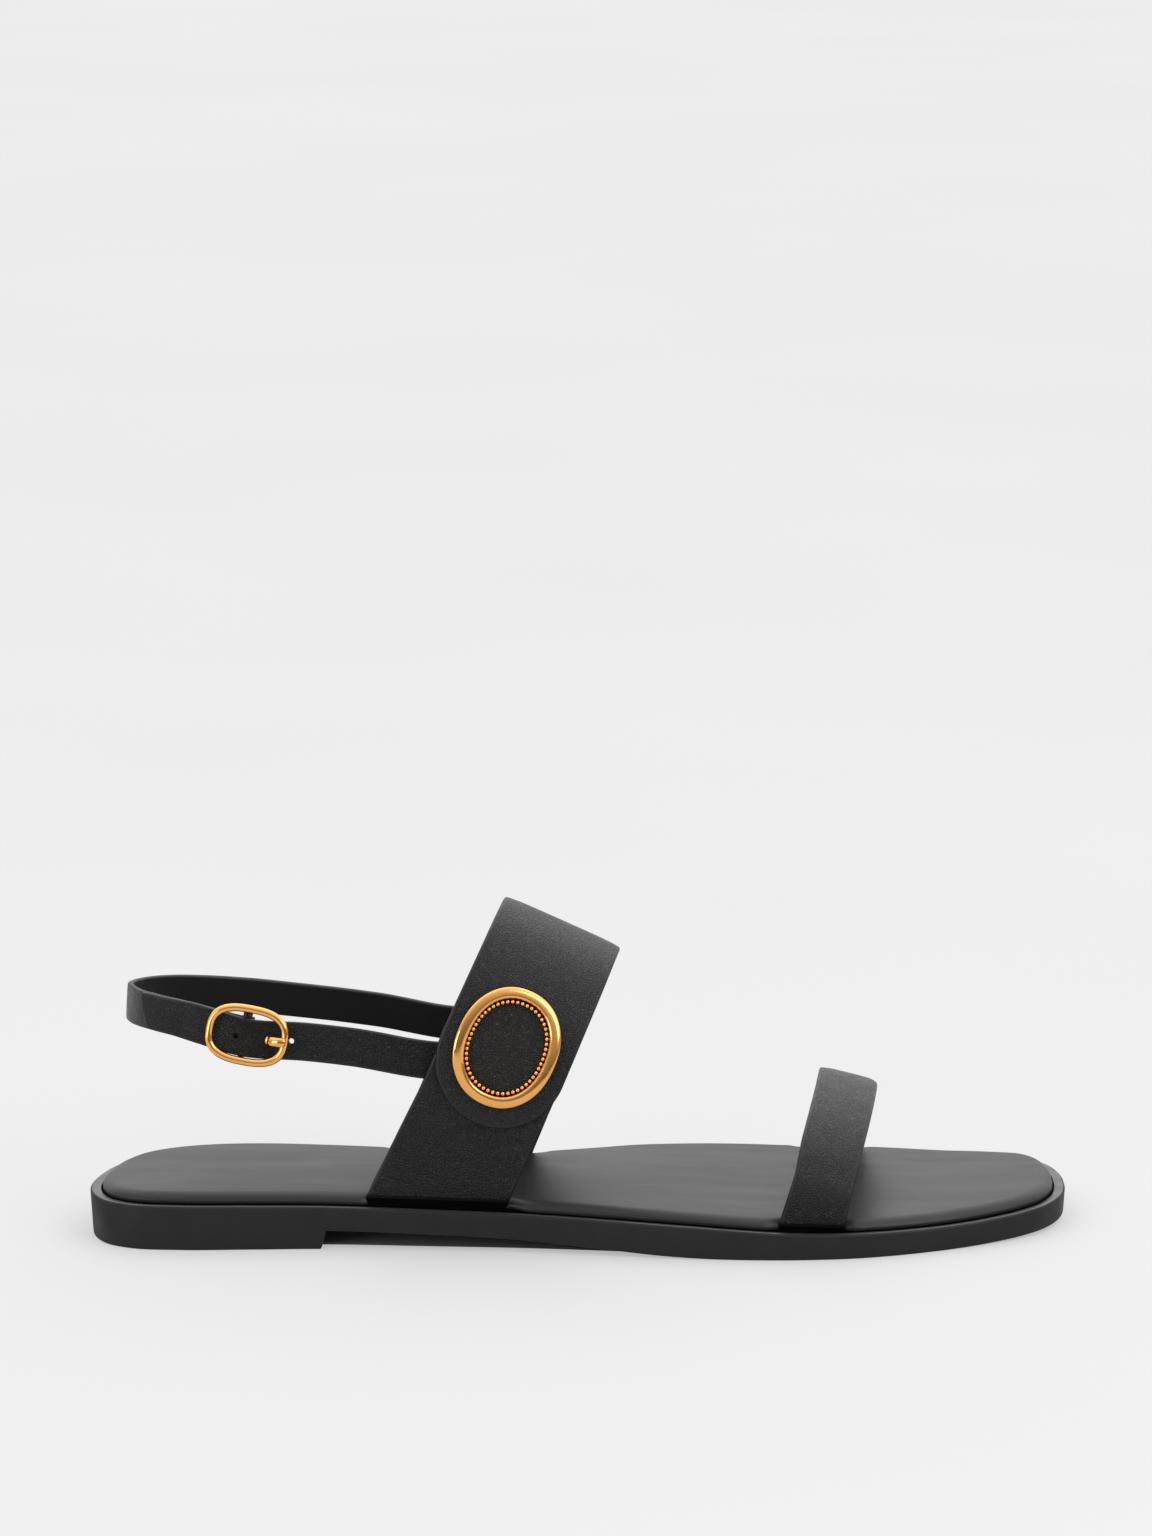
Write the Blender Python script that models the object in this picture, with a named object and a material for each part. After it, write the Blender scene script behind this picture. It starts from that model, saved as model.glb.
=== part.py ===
"""Flat slingback sandal for the right foot.

Metres, +X to the toe, +Y to the medial side, +Z up. The origin lies on the floor under the
middle of the heel. Plan positions are measured from the back end of the sole and moved by
HEEL_POINT, and heights from the floor.
"""
import math

import bmesh
import bpy
import numpy as np

# Sole
LENGTH = 0.251
BALL_WIDTH = 0.0819
HEEL_WIDTH = 0.0575
HEEL_POINT = 0.029
HEEL_HEIGHT = 0.0118
FOREFOOT_HEIGHT = 0.0065
SHANK_LIFT = 0.0048
TOE_SPRING = 0.0012
BREAST = 0.0595
BREAST_SLANT = 0.0018
EDGE_ROUND = 0.0006
BASE_TAPER = 0.0006
RIM_SIDE = 0.0019
RIM_END = 0.0029
POCKET_DEPTH = 0.0030

# Footbed
CROWN = 0.0024
SHOULDER = 0.0045
SEAM_STEP = 0.0003

# What keeps neighbouring pieces apart
CLEAR = 0.0003

# Instep strap, with its tab and its round-ended flap
STRAP_WALL = 0.0020
INSTEP_BACK = 0.0693
INSTEP_RUN = 0.0378
INSTEP_CREST = 0.0774
INSTEP_LEAN = 0.424
INSTEP_SKEW = 0.105
INSTEP_FALL = math.radians(22.9)
INSTEP_WIDTH_LOW = 0.0348
INSTEP_WIDTH_HIGH = 0.0323
LAP = 0.0017
TAB_TOP = 0.0690
FLAP_CENTRE = 0.0500
INSTEP_DROP = 0.0110
ROOT_REACH = 0.0180

# Toe strap
TOE_BACK = 0.1739
TOE_RUN = 0.0172
TOE_CREST = 0.0334
TOE_LEAN = 0.2600
TOE_SKEW = 0.1000
TOE_FALL = math.radians(13.3)
TOE_WIDTH = 0.0159
TOE_DROP = 0.0060

# Sling
SLING_WIDTH = 0.0090
HEEL_STRAP_WALL = 0.0016
FREE_STRAP_WALL = 0.0014
SLING_HEIGHT = 0.0600
SLING_LEAN_SIDE = math.radians(10.0)
SLING_LEAN_BACK = math.radians(3.0)
SLING_TURN = 0.0400
SLING_TUCK = 0.0090
SLING_JOIN_MEDIAL = 0.0448
SLING_JOIN_LATERAL = 0.0493
BAR_PLACE = 0.0408
TAIL_END = 0.0158
TAIL_ROUND = 0.35
TAIL_TIP = 0.72
HOLE_PITCH = 0.0071
HOLE_WIDTH = 0.0015
PRONG_HOLE_WIDTH = 0.0024

# Buckle
RING_LENGTH = 0.0214
RING_HEIGHT = 0.0153
RING_SHIFT = 0.0013
RING_RISE = 0.0004
RING_WIRE = 0.0020
BAR_WIRE = 0.0016
EYE_WALL = 0.0009
PRONG_WIDTH = 0.0024
PRONG_DEPTH = 0.0015
PRONG_ROOT = 0.0012
PRONG_PLACE = 0.0052

# Ornament ring on the flap
ORNAMENT_HEIGHT = 0.0530
ORNAMENT_SHIFT = -0.0003
ORNAMENT_LONG = 0.0292
ORNAMENT_WIDE = 0.0262
ORNAMENT_POWER = 2.15
ORNAMENT_BAND = 0.0030
ORNAMENT_DEPTH = 0.0018

# Sole outline from the heel's back end along the lateral side to the toe and back along the
# medial side: share of LENGTH, share of BALL_WIDTH across.
OUTLINE = (
    (0.0000, -0.103), (0.0055, -0.213), (0.0175, -0.279), (0.0420, -0.330), (0.0960, -0.355),
    (0.1590, -0.351), (0.2375, -0.343), (0.3490, -0.364), (0.4390, -0.383), (0.5200, -0.412),
    (0.5930, -0.446), (0.6665, -0.465), (0.7200, -0.465), (0.7750, -0.447), (0.8240, -0.407),
    (0.8735, -0.347), (0.9250, -0.267), (0.9530, -0.210), (0.9775, -0.136), (0.9925, -0.049),
    (1.0000, 0.087), (0.9965, 0.241), (0.9880, 0.330), (0.9690, 0.404), (0.9355, 0.451),
    (0.8800, 0.490), (0.8120, 0.528), (0.7440, 0.533), (0.6725, 0.518), (0.6010, 0.474),
    (0.5530, 0.436), (0.5050, 0.375), (0.4495, 0.313), (0.3735, 0.302), (0.2980, 0.323),
    (0.2340, 0.339), (0.1745, 0.346), (0.1227, 0.332), (0.0790, 0.293), (0.0430, 0.225),
    (0.0190, 0.122), (0.0055, 0.006), (0.0000, -0.103),
)
TOE_ROW = 20

# Top of the rim: share of LENGTH, share of the drop from HEEL_HEIGHT to FOREFOOT_HEIGHT.
TOP_LINE = (
    (0.00, 1.00), (0.12, 0.97), (0.23, 0.91), (0.35, 0.80), (0.43, 0.70), (0.52, 0.54),
    (0.61, 0.37), (0.67, 0.20), (0.72, 0.07), (0.80, 0.00), (1.00, 0.00),
)

# Underside in front of the breast: share of LENGTH, share of SHANK_LIFT.
UNDER_LINE = (
    (0.23, 1.02), (0.26, 1.00), (0.35, 0.90), (0.44, 0.70), (0.52, 0.35), (0.58, 0.12),
    (0.63, 0.02), (0.67, 0.00), (1.00, 0.00),
)

# Arch of a strap over the foot, from its medial root to its lateral root: share of the half
# span across, share of the rise.
INSTEP_ARCH = (
    (0.98, 0.000), (0.99, 0.130), (1.06, 0.220), (1.18, 0.350), (1.26, 0.500), (1.22, 0.670),
    (1.00, 0.840), (0.62, 0.955), (0.14, 1.000), (-0.34, 0.968), (-0.76, 0.870), (-1.04, 0.710),
    (-1.15, 0.520), (-1.12, 0.340), (-1.04, 0.210), (-0.99, 0.120), (-0.98, 0.000),
)
TOE_ARCH = (
    (0.99, 0.000), (0.99, 0.150), (1.02, 0.370), (0.98, 0.620), (0.79, 0.845), (0.47, 0.965),
    (0.10, 1.000), (-0.28, 0.962), (-0.63, 0.850), (-0.90, 0.650), (-1.01, 0.420), (-0.99, 0.150),
    (-0.99, 0.000),
)

# Sling round the heel between its two joins, medial to lateral: share of LENGTH from the back
# end, share of HEEL_WIDTH across, share of SLING_HEIGHT.
SLING = (
    (0.2900, 0.500, 0.813), (0.2500, 0.487, 0.839), (0.2050, 0.468, 0.865),
    (0.1580, 0.433, 0.894), (0.1130, 0.374, 0.919), (0.0735, 0.262, 0.945), (0.0515, 0.128, 0.964),
    (0.0420, -0.020, 0.980), (0.0488, -0.165, 0.990), (0.0705, -0.295, 0.992), (0.1085, -0.386, 0.974),
    (0.1650, -0.436, 0.925), (0.2240, -0.468, 0.908), (0.2700, -0.490, 0.888),
)

# How far the free strap's middle lies outside the heel strap's: distance from the bar as a
# share of RING_LENGTH, share of the two half walls with CLEAR.
FREE_LIFT = (
    (-2.50, 1.00), (-0.60, 1.00), (-0.46, 1.02), (-0.34, 1.12), (-0.22, 1.40), (-0.10, 1.66),
    (0.00, 1.74), (0.10, 1.66), (0.22, 1.40), (0.34, 1.12), (0.46, 0.98), (0.90, 0.66),
    (1.40, 0.30), (2.60, 0.00),
)

UP = np.array([0.0, 0.0, 1.0])


def clear_scene():
    for item in list(bpy.data.objects):
        bpy.data.objects.remove(item, do_unlink=True)


def material(name, colour, roughness, metallic=0.0):
    """Principled finish of one sub-part."""
    finish = bpy.data.materials.new(name)
    finish.use_nodes = True
    shader = finish.node_tree.nodes["Principled BSDF"]
    shader.inputs["Base Color"].default_value = (*colour, 1.0)
    shader.inputs["Roughness"].default_value = roughness
    shader.inputs["Metallic"].default_value = metallic
    return finish


def hermite(knots, values, at):
    """Smooth values through the knots, one column for each coordinate."""
    knots = np.asarray(knots, float)
    values = np.asarray(values, float)
    at = np.asarray(at, float)
    gap = np.diff(knots)[:, None]
    slope = np.diff(values, axis=0) / gap
    bend = np.empty_like(values)
    bend[0] = slope[0]
    bend[-1] = slope[-1]
    bend[1:-1] = (slope[:-1] * gap[1:] + slope[1:] * gap[:-1]) / (gap[1:] + gap[:-1])
    seat = np.clip(np.searchsorted(knots, at, side="right") - 1, 0, len(gap) - 1)
    step = gap[seat]
    t = ((at - knots[seat])[:, None]) / step
    near = (1 + 2 * t) * (1 - t) ** 2 * values[seat] + t * (1 - t) ** 2 * step * bend[seat]
    far = t ** 2 * (3 - 2 * t) * values[seat + 1] + t ** 2 * (t - 1) * step * bend[seat + 1]
    return near + far


def profile(rows, share):
    """One smooth value of a two-column table."""
    rows = np.asarray(rows, float)
    share = np.clip(np.atleast_1d(share), rows[0, 0], rows[-1, 0])
    return hermite(rows[:, 0], rows[:, 1:2], share)[:, 0]


def unit(vectors):
    return vectors / np.linalg.norm(vectors, axis=-1, keepdims=True)


class Route:
    """A smooth line through points, read by the length run along it."""

    def __init__(self, points, steps=20):
        points = np.asarray(points, float)
        knots = np.concatenate([[0.0], np.cumsum(np.linalg.norm(np.diff(points, axis=0), axis=1))])
        self.line = hermite(knots, points, np.linspace(0.0, knots[-1], steps * len(points)))
        paces = np.linalg.norm(np.diff(self.line, axis=0), axis=1)
        self.run = np.concatenate([[0.0], np.cumsum(paces)])
        self.length = self.run[-1]

    def at(self, run):
        return np.stack([np.interp(run, self.run, column) for column in self.line.T], axis=-1)

    def heading(self, run):
        pace = 0.0005
        low = np.clip(np.asarray(run) - pace, 0.0, self.length)
        high = np.clip(np.asarray(run) + pace, 0.0, self.length)
        return unit(self.at(high) - self.at(low))

    def run_where(self, column, value, start, stop):
        """Length run at which a coordinate has a value, between two lengths run."""
        runs = np.linspace(start, stop, 400)
        found = self.at(runs)[:, column]
        order = np.argsort(found)
        return float(np.interp(value, found[order], runs[order]))


# Sole in plan

def outline_branches():
    """Dense lateral and medial edges of the sole, each from heel to toe."""
    points = np.array(OUTLINE) * (LENGTH, BALL_WIDTH)
    wrapped = np.vstack([points[-3:-1], points, points[1:3]])
    knots = np.concatenate([[0.0], np.cumsum(np.linalg.norm(np.diff(wrapped, axis=0), axis=1))])
    first, toe, last = 2, 2 + TOE_ROW, len(points) + 1
    lateral = hermite(knots, wrapped, np.linspace(knots[first], knots[toe], 900))
    medial = hermite(knots, wrapped, np.linspace(knots[toe], knots[last], 900))[::-1]
    return lateral, medial


LATERAL, MEDIAL = outline_branches()


def edge_across(branch, along):
    """Where an edge of the sole lies across, at a distance from the back end."""
    return np.interp(along, branch[:, 0], branch[:, 1])


def rim_width(share):
    """Wider rim round the heel and the toe than along the sides."""
    ends = np.clip(np.abs(share - 0.5) * 2, 0, 1) ** 14
    return RIM_SIDE + (RIM_END - RIM_SIDE) * ends


def spring(share):
    return TOE_SPRING * np.clip((np.asarray(share) - 0.87) / 0.13, 0.0, 1.0) ** 1.6


def rim_top(share):
    drop = HEEL_HEIGHT - FOREFOOT_HEIGHT
    return FOREFOOT_HEIGHT + drop * profile(TOP_LINE, share) + spring(share)


def underside(share):
    """Flat heel, a breast, the arch and a flat forefoot that lifts at the toe."""
    share = np.asarray(share)
    front = SHANK_LIFT * np.clip(profile(UNDER_LINE, share), 0.0, None) + spring(share)
    return np.where(share <= BREAST / LENGTH + 1e-6, 0.0, front)


def stations():
    """Shares of the length, closer together at both ends, with three at the breast."""
    even = (1 - np.cos(np.linspace(0, math.pi, 47))) / 2
    breast = np.array([BREAST, BREAST + BREAST_SLANT, BREAST + 2.5 * BREAST_SLANT]) / LENGTH
    free = even[(even < breast[0] - 0.008) | (even > breast[2] + 0.008)]
    return np.sort(np.concatenate([free, breast]))


class Plan:
    """Closed rings that follow the sole's outline at any inset."""

    def __init__(self):
        self.share = stations()
        along = self.share * LENGTH
        inner = slice(1, -1)
        lateral = np.stack([along, edge_across(LATERAL, along)], axis=1)
        medial = np.stack([along, edge_across(MEDIAL, along)], axis=1)
        self.half = len(along) - 1
        self.base = np.vstack([lateral, medial[inner][::-1]])
        self.shares = np.concatenate([self.share, self.share[inner][::-1]])
        ahead = np.roll(self.base, -1, axis=0) - self.base
        behind = self.base - np.roll(self.base, 1, axis=0)
        turn = unit(unit(ahead) + unit(behind))
        self.inward = np.stack([-turn[:, 1], turn[:, 0]], axis=1)

    def ring(self, inset, height):
        flat = self.base + self.inward * np.reshape(inset, (-1, 1))
        return np.column_stack([flat[:, 0] - HEEL_POINT, flat[:, 1], height])

    def cap(self, start):
        """Faces across a ring, from side to side."""
        total = 2 * self.half
        faces = [(start, start + 1, start + total - 1)]
        for row in range(1, self.half - 1):
            faces.append((start + row, start + row + 1, start + total - row - 1, start + total - row))
        faces.append((start + self.half - 1, start + self.half, start + self.half + 1))
        return faces


PLAN = Plan()


# Meshes

def finish_object(name, mesh, finish, sharp=math.radians(35.0)):
    mesh.materials.append(finish)
    mesh.shade_smooth()
    mesh.set_sharp_from_angle(angle=sharp)
    item = bpy.data.objects.new(name, mesh)
    bpy.context.scene.collection.objects.link(item)
    return item


def lofted(name, rings, caps, finish, trim=None):
    """Rings joined in order into a closed body, then cut by a plane where one is given."""
    count = len(rings[0])
    verts = np.vstack(rings)
    shell = bmesh.new()
    made = [shell.verts.new(point) for point in verts]
    faces = list(caps)
    for row in range(len(rings) - 1):
        for place in range(count):
            after = (place + 1) % count
            low, high = row * count, (row + 1) * count
            faces.append((low + place, low + after, high + after, high + place))
    for face in faces:
        shell.faces.new([made[index] for index in face])
    bmesh.ops.recalc_face_normals(shell, faces=shell.faces)
    if trim is not None:
        point, normal = trim
        geometry = shell.verts[:] + shell.edges[:] + shell.faces[:]
        bmesh.ops.bisect_plane(shell, geom=geometry, plane_co=point, plane_no=normal, clear_inner=True)
        open_edges = [edge for edge in shell.edges if edge.is_boundary]
        bmesh.ops.holes_fill(shell, edges=open_edges, sides=0)
        bmesh.ops.recalc_face_normals(shell, faces=shell.faces)
    mesh = bpy.data.meshes.new(name)
    shell.to_mesh(mesh)
    shell.free()
    return finish_object(name, mesh, finish)


def end_caps(rings):
    count = len(rings[0])
    last = (len(rings) - 1) * count
    return [tuple(range(count)), tuple(range(last, last + count))]


def strap(name, points, across, width, inner, outer, finish, trim=None):
    """A band with eased edges: its middle line, the way across, its width and its two faces."""
    heading = unit(np.gradient(points, axis=0))
    outward = unit(np.cross(heading, across))
    ease = np.minimum(0.25 * (outer - inner), EDGE_ROUND)
    half = width / 2
    corners = (
        (-half + ease, inner), (half - ease, inner), (half, inner + ease), (half, outer - ease),
        (half - ease, outer), (-half + ease, outer), (-half, outer - ease), (-half, inner + ease),
    )
    columns = [points + across * np.reshape(a, (-1, 1)) + outward * np.reshape(b, (-1, 1))
               for a, b in corners]
    rings = list(np.stack(columns, axis=1))
    return lofted(name, rings, end_caps(rings), finish, trim)


def tube(name, points, side, half_side, half_up, finish, closed=False, sides=10):
    """A rod along points, with half sizes along the side direction and square to it."""
    if closed:
        heading = unit(np.roll(points, -1, axis=0) - np.roll(points, 1, axis=0))
    else:
        heading = unit(np.gradient(points, axis=0))
    side = np.broadcast_to(side, points.shape)
    side = unit(side - heading * np.sum(side * heading, axis=1, keepdims=True))
    over = np.cross(heading, side)
    rings = []
    for row, point in enumerate(points):
        angle = np.linspace(0, 2 * math.pi, sides, endpoint=False)[:, None]
        reach = np.broadcast_to(half_side, len(points))[row]
        rise = np.broadcast_to(half_up, len(points))[row]
        rings.append(point + side[row] * np.cos(angle) * reach + over[row] * np.sin(angle) * rise)
    if closed:
        return lofted(name, rings + [rings[0]], [], finish)
    return lofted(name, rings, end_caps(rings), finish)


def weld(item):
    """Merge the seam of a body that was lofted round to its own start."""
    shell = bmesh.new()
    shell.from_mesh(item.data)
    bmesh.ops.remove_doubles(shell, verts=shell.verts, dist=1e-7)
    bmesh.ops.recalc_face_normals(shell, faces=shell.faces)
    shell.to_mesh(item.data)
    shell.free()
    return item


def combine(target, tool, operation):
    """Join a hidden tool to a piece, or cut it away."""
    step = target.modifiers.new(tool.name, "BOOLEAN")
    step.operation = operation
    step.solver = "EXACT"
    step.object = tool
    tool.hide_render = True
    tool.display_type = "WIRE"


def rod(name, start, end, radius, finish, sides=12):
    points = np.linspace(start, end, 2)
    axis = unit(points[1] - points[0])
    side = np.cross(axis, (0.31, 0.95, 0.05))
    return tube(name, points, side, radius, radius, finish, sides=sides)


# Sole and footbed

def make_outsole(finish):
    rim = rim_width(PLAN.shares)
    top = rim_top(PLAN.shares)
    under = underside(PLAN.shares)
    taper = BASE_TAPER * (top - under) / HEEL_HEIGHT
    rings = [
        PLAN.ring(taper + EDGE_ROUND, under),
        PLAN.ring(taper + 0.3 * EDGE_ROUND, under + 0.3 * EDGE_ROUND),
        PLAN.ring(taper, under + EDGE_ROUND),
        PLAN.ring(0.0 * top, top - EDGE_ROUND),
        PLAN.ring(0.3 * EDGE_ROUND + 0.0 * top, top - 0.3 * EDGE_ROUND),
        PLAN.ring(EDGE_ROUND + 0.0 * top, top),
        PLAN.ring(rim, top),
        PLAN.ring(rim, top - POCKET_DEPTH),
    ]
    last = (len(rings) - 1) * len(rings[0])
    return lofted("outsole", rings, PLAN.cap(0) + PLAN.cap(last), finish)


def make_insole(finish):
    rim = rim_width(PLAN.shares) + CLEAR
    top = rim_top(PLAN.shares)
    floor = top - POCKET_DEPTH + CLEAR
    seam = top + SEAM_STEP
    rings = [
        PLAN.ring(rim + 2 * CLEAR, floor),
        PLAN.ring(rim, floor + 2 * CLEAR),
        PLAN.ring(rim, seam),
    ]
    for angle in np.radians((25.0, 50.0, 72.0, 90.0)):
        rings.append(PLAN.ring(rim + SHOULDER * (1 - math.cos(angle)), seam + CROWN * math.sin(angle)))
    last = (len(rings) - 1) * len(rings[0])
    return lofted("insole", rings, PLAN.cap(0) + PLAN.cap(last), finish)


# Straps over the foot

class Arch:
    """The line of a strap over the foot, with its roots just inside the rim."""

    def __init__(self, rows, back, run, crest, lean, skew, fall, drop):
        self.back, self.front = back, back + run
        middle = 0.5 * (self.back + self.front)
        along = np.linspace(self.back, self.front, 9)
        rim = rim_width(along / LENGTH) + CLEAR + STRAP_WALL / 2
        lateral = edge_across(LATERAL, along) + rim
        ahead = skew * (edge_across(MEDIAL, middle) - edge_across(LATERAL, middle))
        medial = edge_across(MEDIAL, along + ahead) - rim
        self.turn = 0.5 * (lateral[-1] - lateral[0] + medial[-1] - medial[0]) / run
        straight = self.turn * (along - middle)
        low, high = np.max(lateral - straight), np.min(medial - straight)
        centre, half = 0.5 * (low + high), 0.5 * (high - low)
        floor = float(rim_top(middle / LENGTH)[0]) - POCKET_DEPTH + CLEAR
        rows = np.array(rows)
        across = centre + half * rows[:, 0]
        height = floor + (crest - floor) * rows[:, 1]
        across = np.concatenate([[across[0]], across, [across[-1]]])
        height = np.concatenate([[floor - drop], height, [floor - drop]])
        start = middle - lean * floor - skew * low
        along = start + lean * height + skew * across
        self.route = Route(np.column_stack([along - HEEL_POINT, across, height]))
        self.across = unit(np.array([math.cos(fall), self.turn * math.cos(fall), -math.sin(fall)]))
        self.floor = floor
        self.crest_run = float(self.route.run[np.argmax(self.route.line[:, 2])])

    def trim(self):
        """The plane just above the pocket's floor that both roots end on."""
        heights = rim_top(np.array([self.back, self.front]) / LENGTH) - POCKET_DEPTH + 1.3 * CLEAR
        slope = (heights[1] - heights[0]) / (self.front - self.back)
        return (self.back - HEEL_POINT, 0.0, heights[0]), unit(np.array([-slope, 0.0, 1.0]))

    def lateral_run(self, height):
        return self.route.run_where(2, height, self.crest_run, self.route.length)

    def medial_run(self, height):
        return self.route.run_where(2, height, 0.0, self.crest_run)

    def band(self, name, runs, width, inner, outer, finish, trim=None):
        across = np.broadcast_to(self.across, (len(runs), 3))
        return strap(name, self.route.at(runs), across, width, inner, outer, finish, trim)

    def surface(self, run, aside, lift):
        """A point on the strap: length run, distance across and height over its middle."""
        heading = self.route.heading(run)
        outward = unit(np.cross(heading, self.across))
        return self.route.at(run) + self.across * aside[:, None] + outward * lift


def instep_width(arch, runs):
    height = arch.route.at(runs)[:, 2]
    share = np.clip((height - arch.floor) / (INSTEP_CREST - arch.floor), 0.0, 1.0)
    return INSTEP_WIDTH_LOW + (INSTEP_WIDTH_HIGH - INSTEP_WIDTH_LOW) * share


def instep_arch():
    return Arch(INSTEP_ARCH, INSTEP_BACK, INSTEP_RUN, INSTEP_CREST, INSTEP_LEAN, INSTEP_SKEW,
                INSTEP_FALL, INSTEP_DROP)


def toe_arch():
    return Arch(TOE_ARCH, TOE_BACK, TOE_RUN, TOE_CREST, TOE_LEAN, TOE_SKEW, TOE_FALL, TOE_DROP)


def make_main_strap(arch, finish):
    """From the medial root over the crest to the flap's round end, lifted over the tab."""
    centre = arch.lateral_run(FLAP_CENTRE)
    radius = float(instep_width(arch, np.array([centre]))[0]) / 2
    straight = np.linspace(0.0, centre, 44)
    angles = np.radians((15, 30, 44, 56, 66, 75, 82))
    runs = np.concatenate([straight, centre + radius * np.sin(angles)])
    narrowing = np.concatenate([np.ones(len(straight)), np.cos(angles)])
    width = instep_width(arch, runs) * narrowing
    rise = (runs - arch.crest_run) / (arch.lateral_run(TAB_TOP) - arch.crest_run)
    rise = np.clip(rise, 0.0, 1.0)
    lift = LAP * rise ** 2 * (3 - 2 * rise)
    return arch.band("upper", runs, width, lift - STRAP_WALL / 2, lift + STRAP_WALL / 2, finish, arch.trim())


def make_tab(arch, finish):
    runs = np.linspace(arch.lateral_run(TAB_TOP), arch.route.length, 20)
    width = instep_width(arch, runs) - 2 * CLEAR
    half = STRAP_WALL / 2
    return arch.band("tab", runs, width, -half + 0.0 * runs, half + 0.0 * runs, finish, arch.trim())


def make_toe_strap(arch, finish):
    runs = np.linspace(0.0, arch.route.length, 44)
    half = STRAP_WALL / 2 + 0.0 * runs
    return arch.band("toe_strap", runs, TOE_WIDTH + 0.0 * runs, -half, half, finish, arch.trim())


def make_notch(name, arch, runs, width, finish):
    """The room that the footbed leaves round a strap's root, open to the rim."""
    reach = 2 * RIM_END
    inner = -STRAP_WALL / 2 - CLEAR + 0.0 * runs
    outer = STRAP_WALL / 2 + reach + 0.0 * runs
    return arch.band(name, runs, width + 2 * CLEAR, inner, outer, finish)


def root_runs(arch, lateral):
    reach = arch.floor + POCKET_DEPTH + CROWN + ROOT_REACH
    if lateral:
        return np.linspace(arch.lateral_run(reach), arch.route.length, 8)
    return np.linspace(0.0, arch.medial_run(reach), 8)


# Sling and buckle

class Sling:
    """The sling's line from the medial wall round the heel to the tab, with its bar."""

    def __init__(self, arch):
        sink = STRAP_WALL / 2 + HEEL_STRAP_WALL / 2 - CLEAR
        medial = self.tuck(arch, arch.medial_run(SLING_JOIN_MEDIAL), sink)
        lateral = self.tuck(arch, arch.lateral_run(SLING_JOIN_LATERAL), sink)
        rows = np.array(SLING) * (LENGTH, HEEL_WIDTH, SLING_HEIGHT)
        rows[:, 0] -= HEEL_POINT
        self.route = Route(np.vstack([medial, rows, lateral[::-1]]))
        runs = self.route.run
        back = float(runs[np.argmin(self.route.line[:, 0])])
        self.back = back
        self.bar = self.route.run_where(0, BAR_PLACE - HEEL_POINT, back, self.route.length)
        self.tail = self.route.run_where(0, TAIL_END - HEEL_POINT, back, self.bar)

    @staticmethod
    def tuck(arch, run, sink):
        """Two points behind the strap's wall: deep under it, and at its back edge."""
        width = float(instep_width(arch, np.array([run]))[0])
        asides = np.array([SLING_TUCK - width / 2, -width / 2])
        return arch.surface(np.array([run, run]), asides, -sink) * (1, 1, 0) + arch.route.at(run) * (0, 0, 1)

    def frame(self, run):
        """Heading, the way up the strap and the way out of it."""
        heading = self.route.heading(run)
        flat = unit(np.cross(heading, UP))
        rise = np.cross(flat, heading)
        near = np.clip(1 - np.abs(np.asarray(run) - self.back) / SLING_TURN, 0.0, 1.0)[..., None]
        lean = SLING_LEAN_SIDE + (SLING_LEAN_BACK - SLING_LEAN_SIDE) * near
        up = np.cos(lean) * rise - np.sin(lean) * flat
        return heading, up, np.cross(heading, up)

    def lift(self, runs):
        span = HEEL_STRAP_WALL / 2 + CLEAR + FREE_STRAP_WALL / 2
        return span * profile(FREE_LIFT, (np.asarray(runs) - self.bar) / RING_LENGTH)

    def point(self, along, up, out):
        """A place by the buckle: along the strap from the bar, up it and out of it."""
        heading, rise, outward = self.frame(self.bar)
        return self.route.at(self.bar) + heading * along + rise * up + outward * out


def make_heel_strap(sling, finish):
    """From the medial wall round the heel to the eye that holds the buckle's bar."""
    eye = BAR_WIRE / 2 + CLEAR + EYE_WALL
    runs = np.linspace(0.0, sling.bar - 0.6 * eye, 64)
    _, up, _ = sling.frame(runs)
    half = HEEL_STRAP_WALL / 2
    band = strap("heel_strap", sling.route.at(runs), up, SLING_WIDTH + 0.0 * runs,
                 -half + 0.0 * runs, half + 0.0 * runs, finish)
    top = SLING_WIDTH / 2
    combine(band, rod("eye", sling.point(0, -top, 0), sling.point(0, top, 0), eye, finish), "UNION")
    bore = BAR_WIRE / 2 + CLEAR
    cutter = rod("bar_bore", sling.point(0, -2 * top, 0), sling.point(0, 2 * top, 0), bore, finish)
    combine(band, cutter, "DIFFERENCE")
    slot = PRONG_ROOT / 2 + CLEAR
    points = np.array([sling.point(0, 0, 0), sling.point(3 * eye, 0, 0)])
    _, up, _ = sling.frame(sling.bar)
    combine(band, tube("prong_slot", points, up, slot * 1.3, 2 * eye, finish, sides=12), "DIFFERENCE")
    return band


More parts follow.
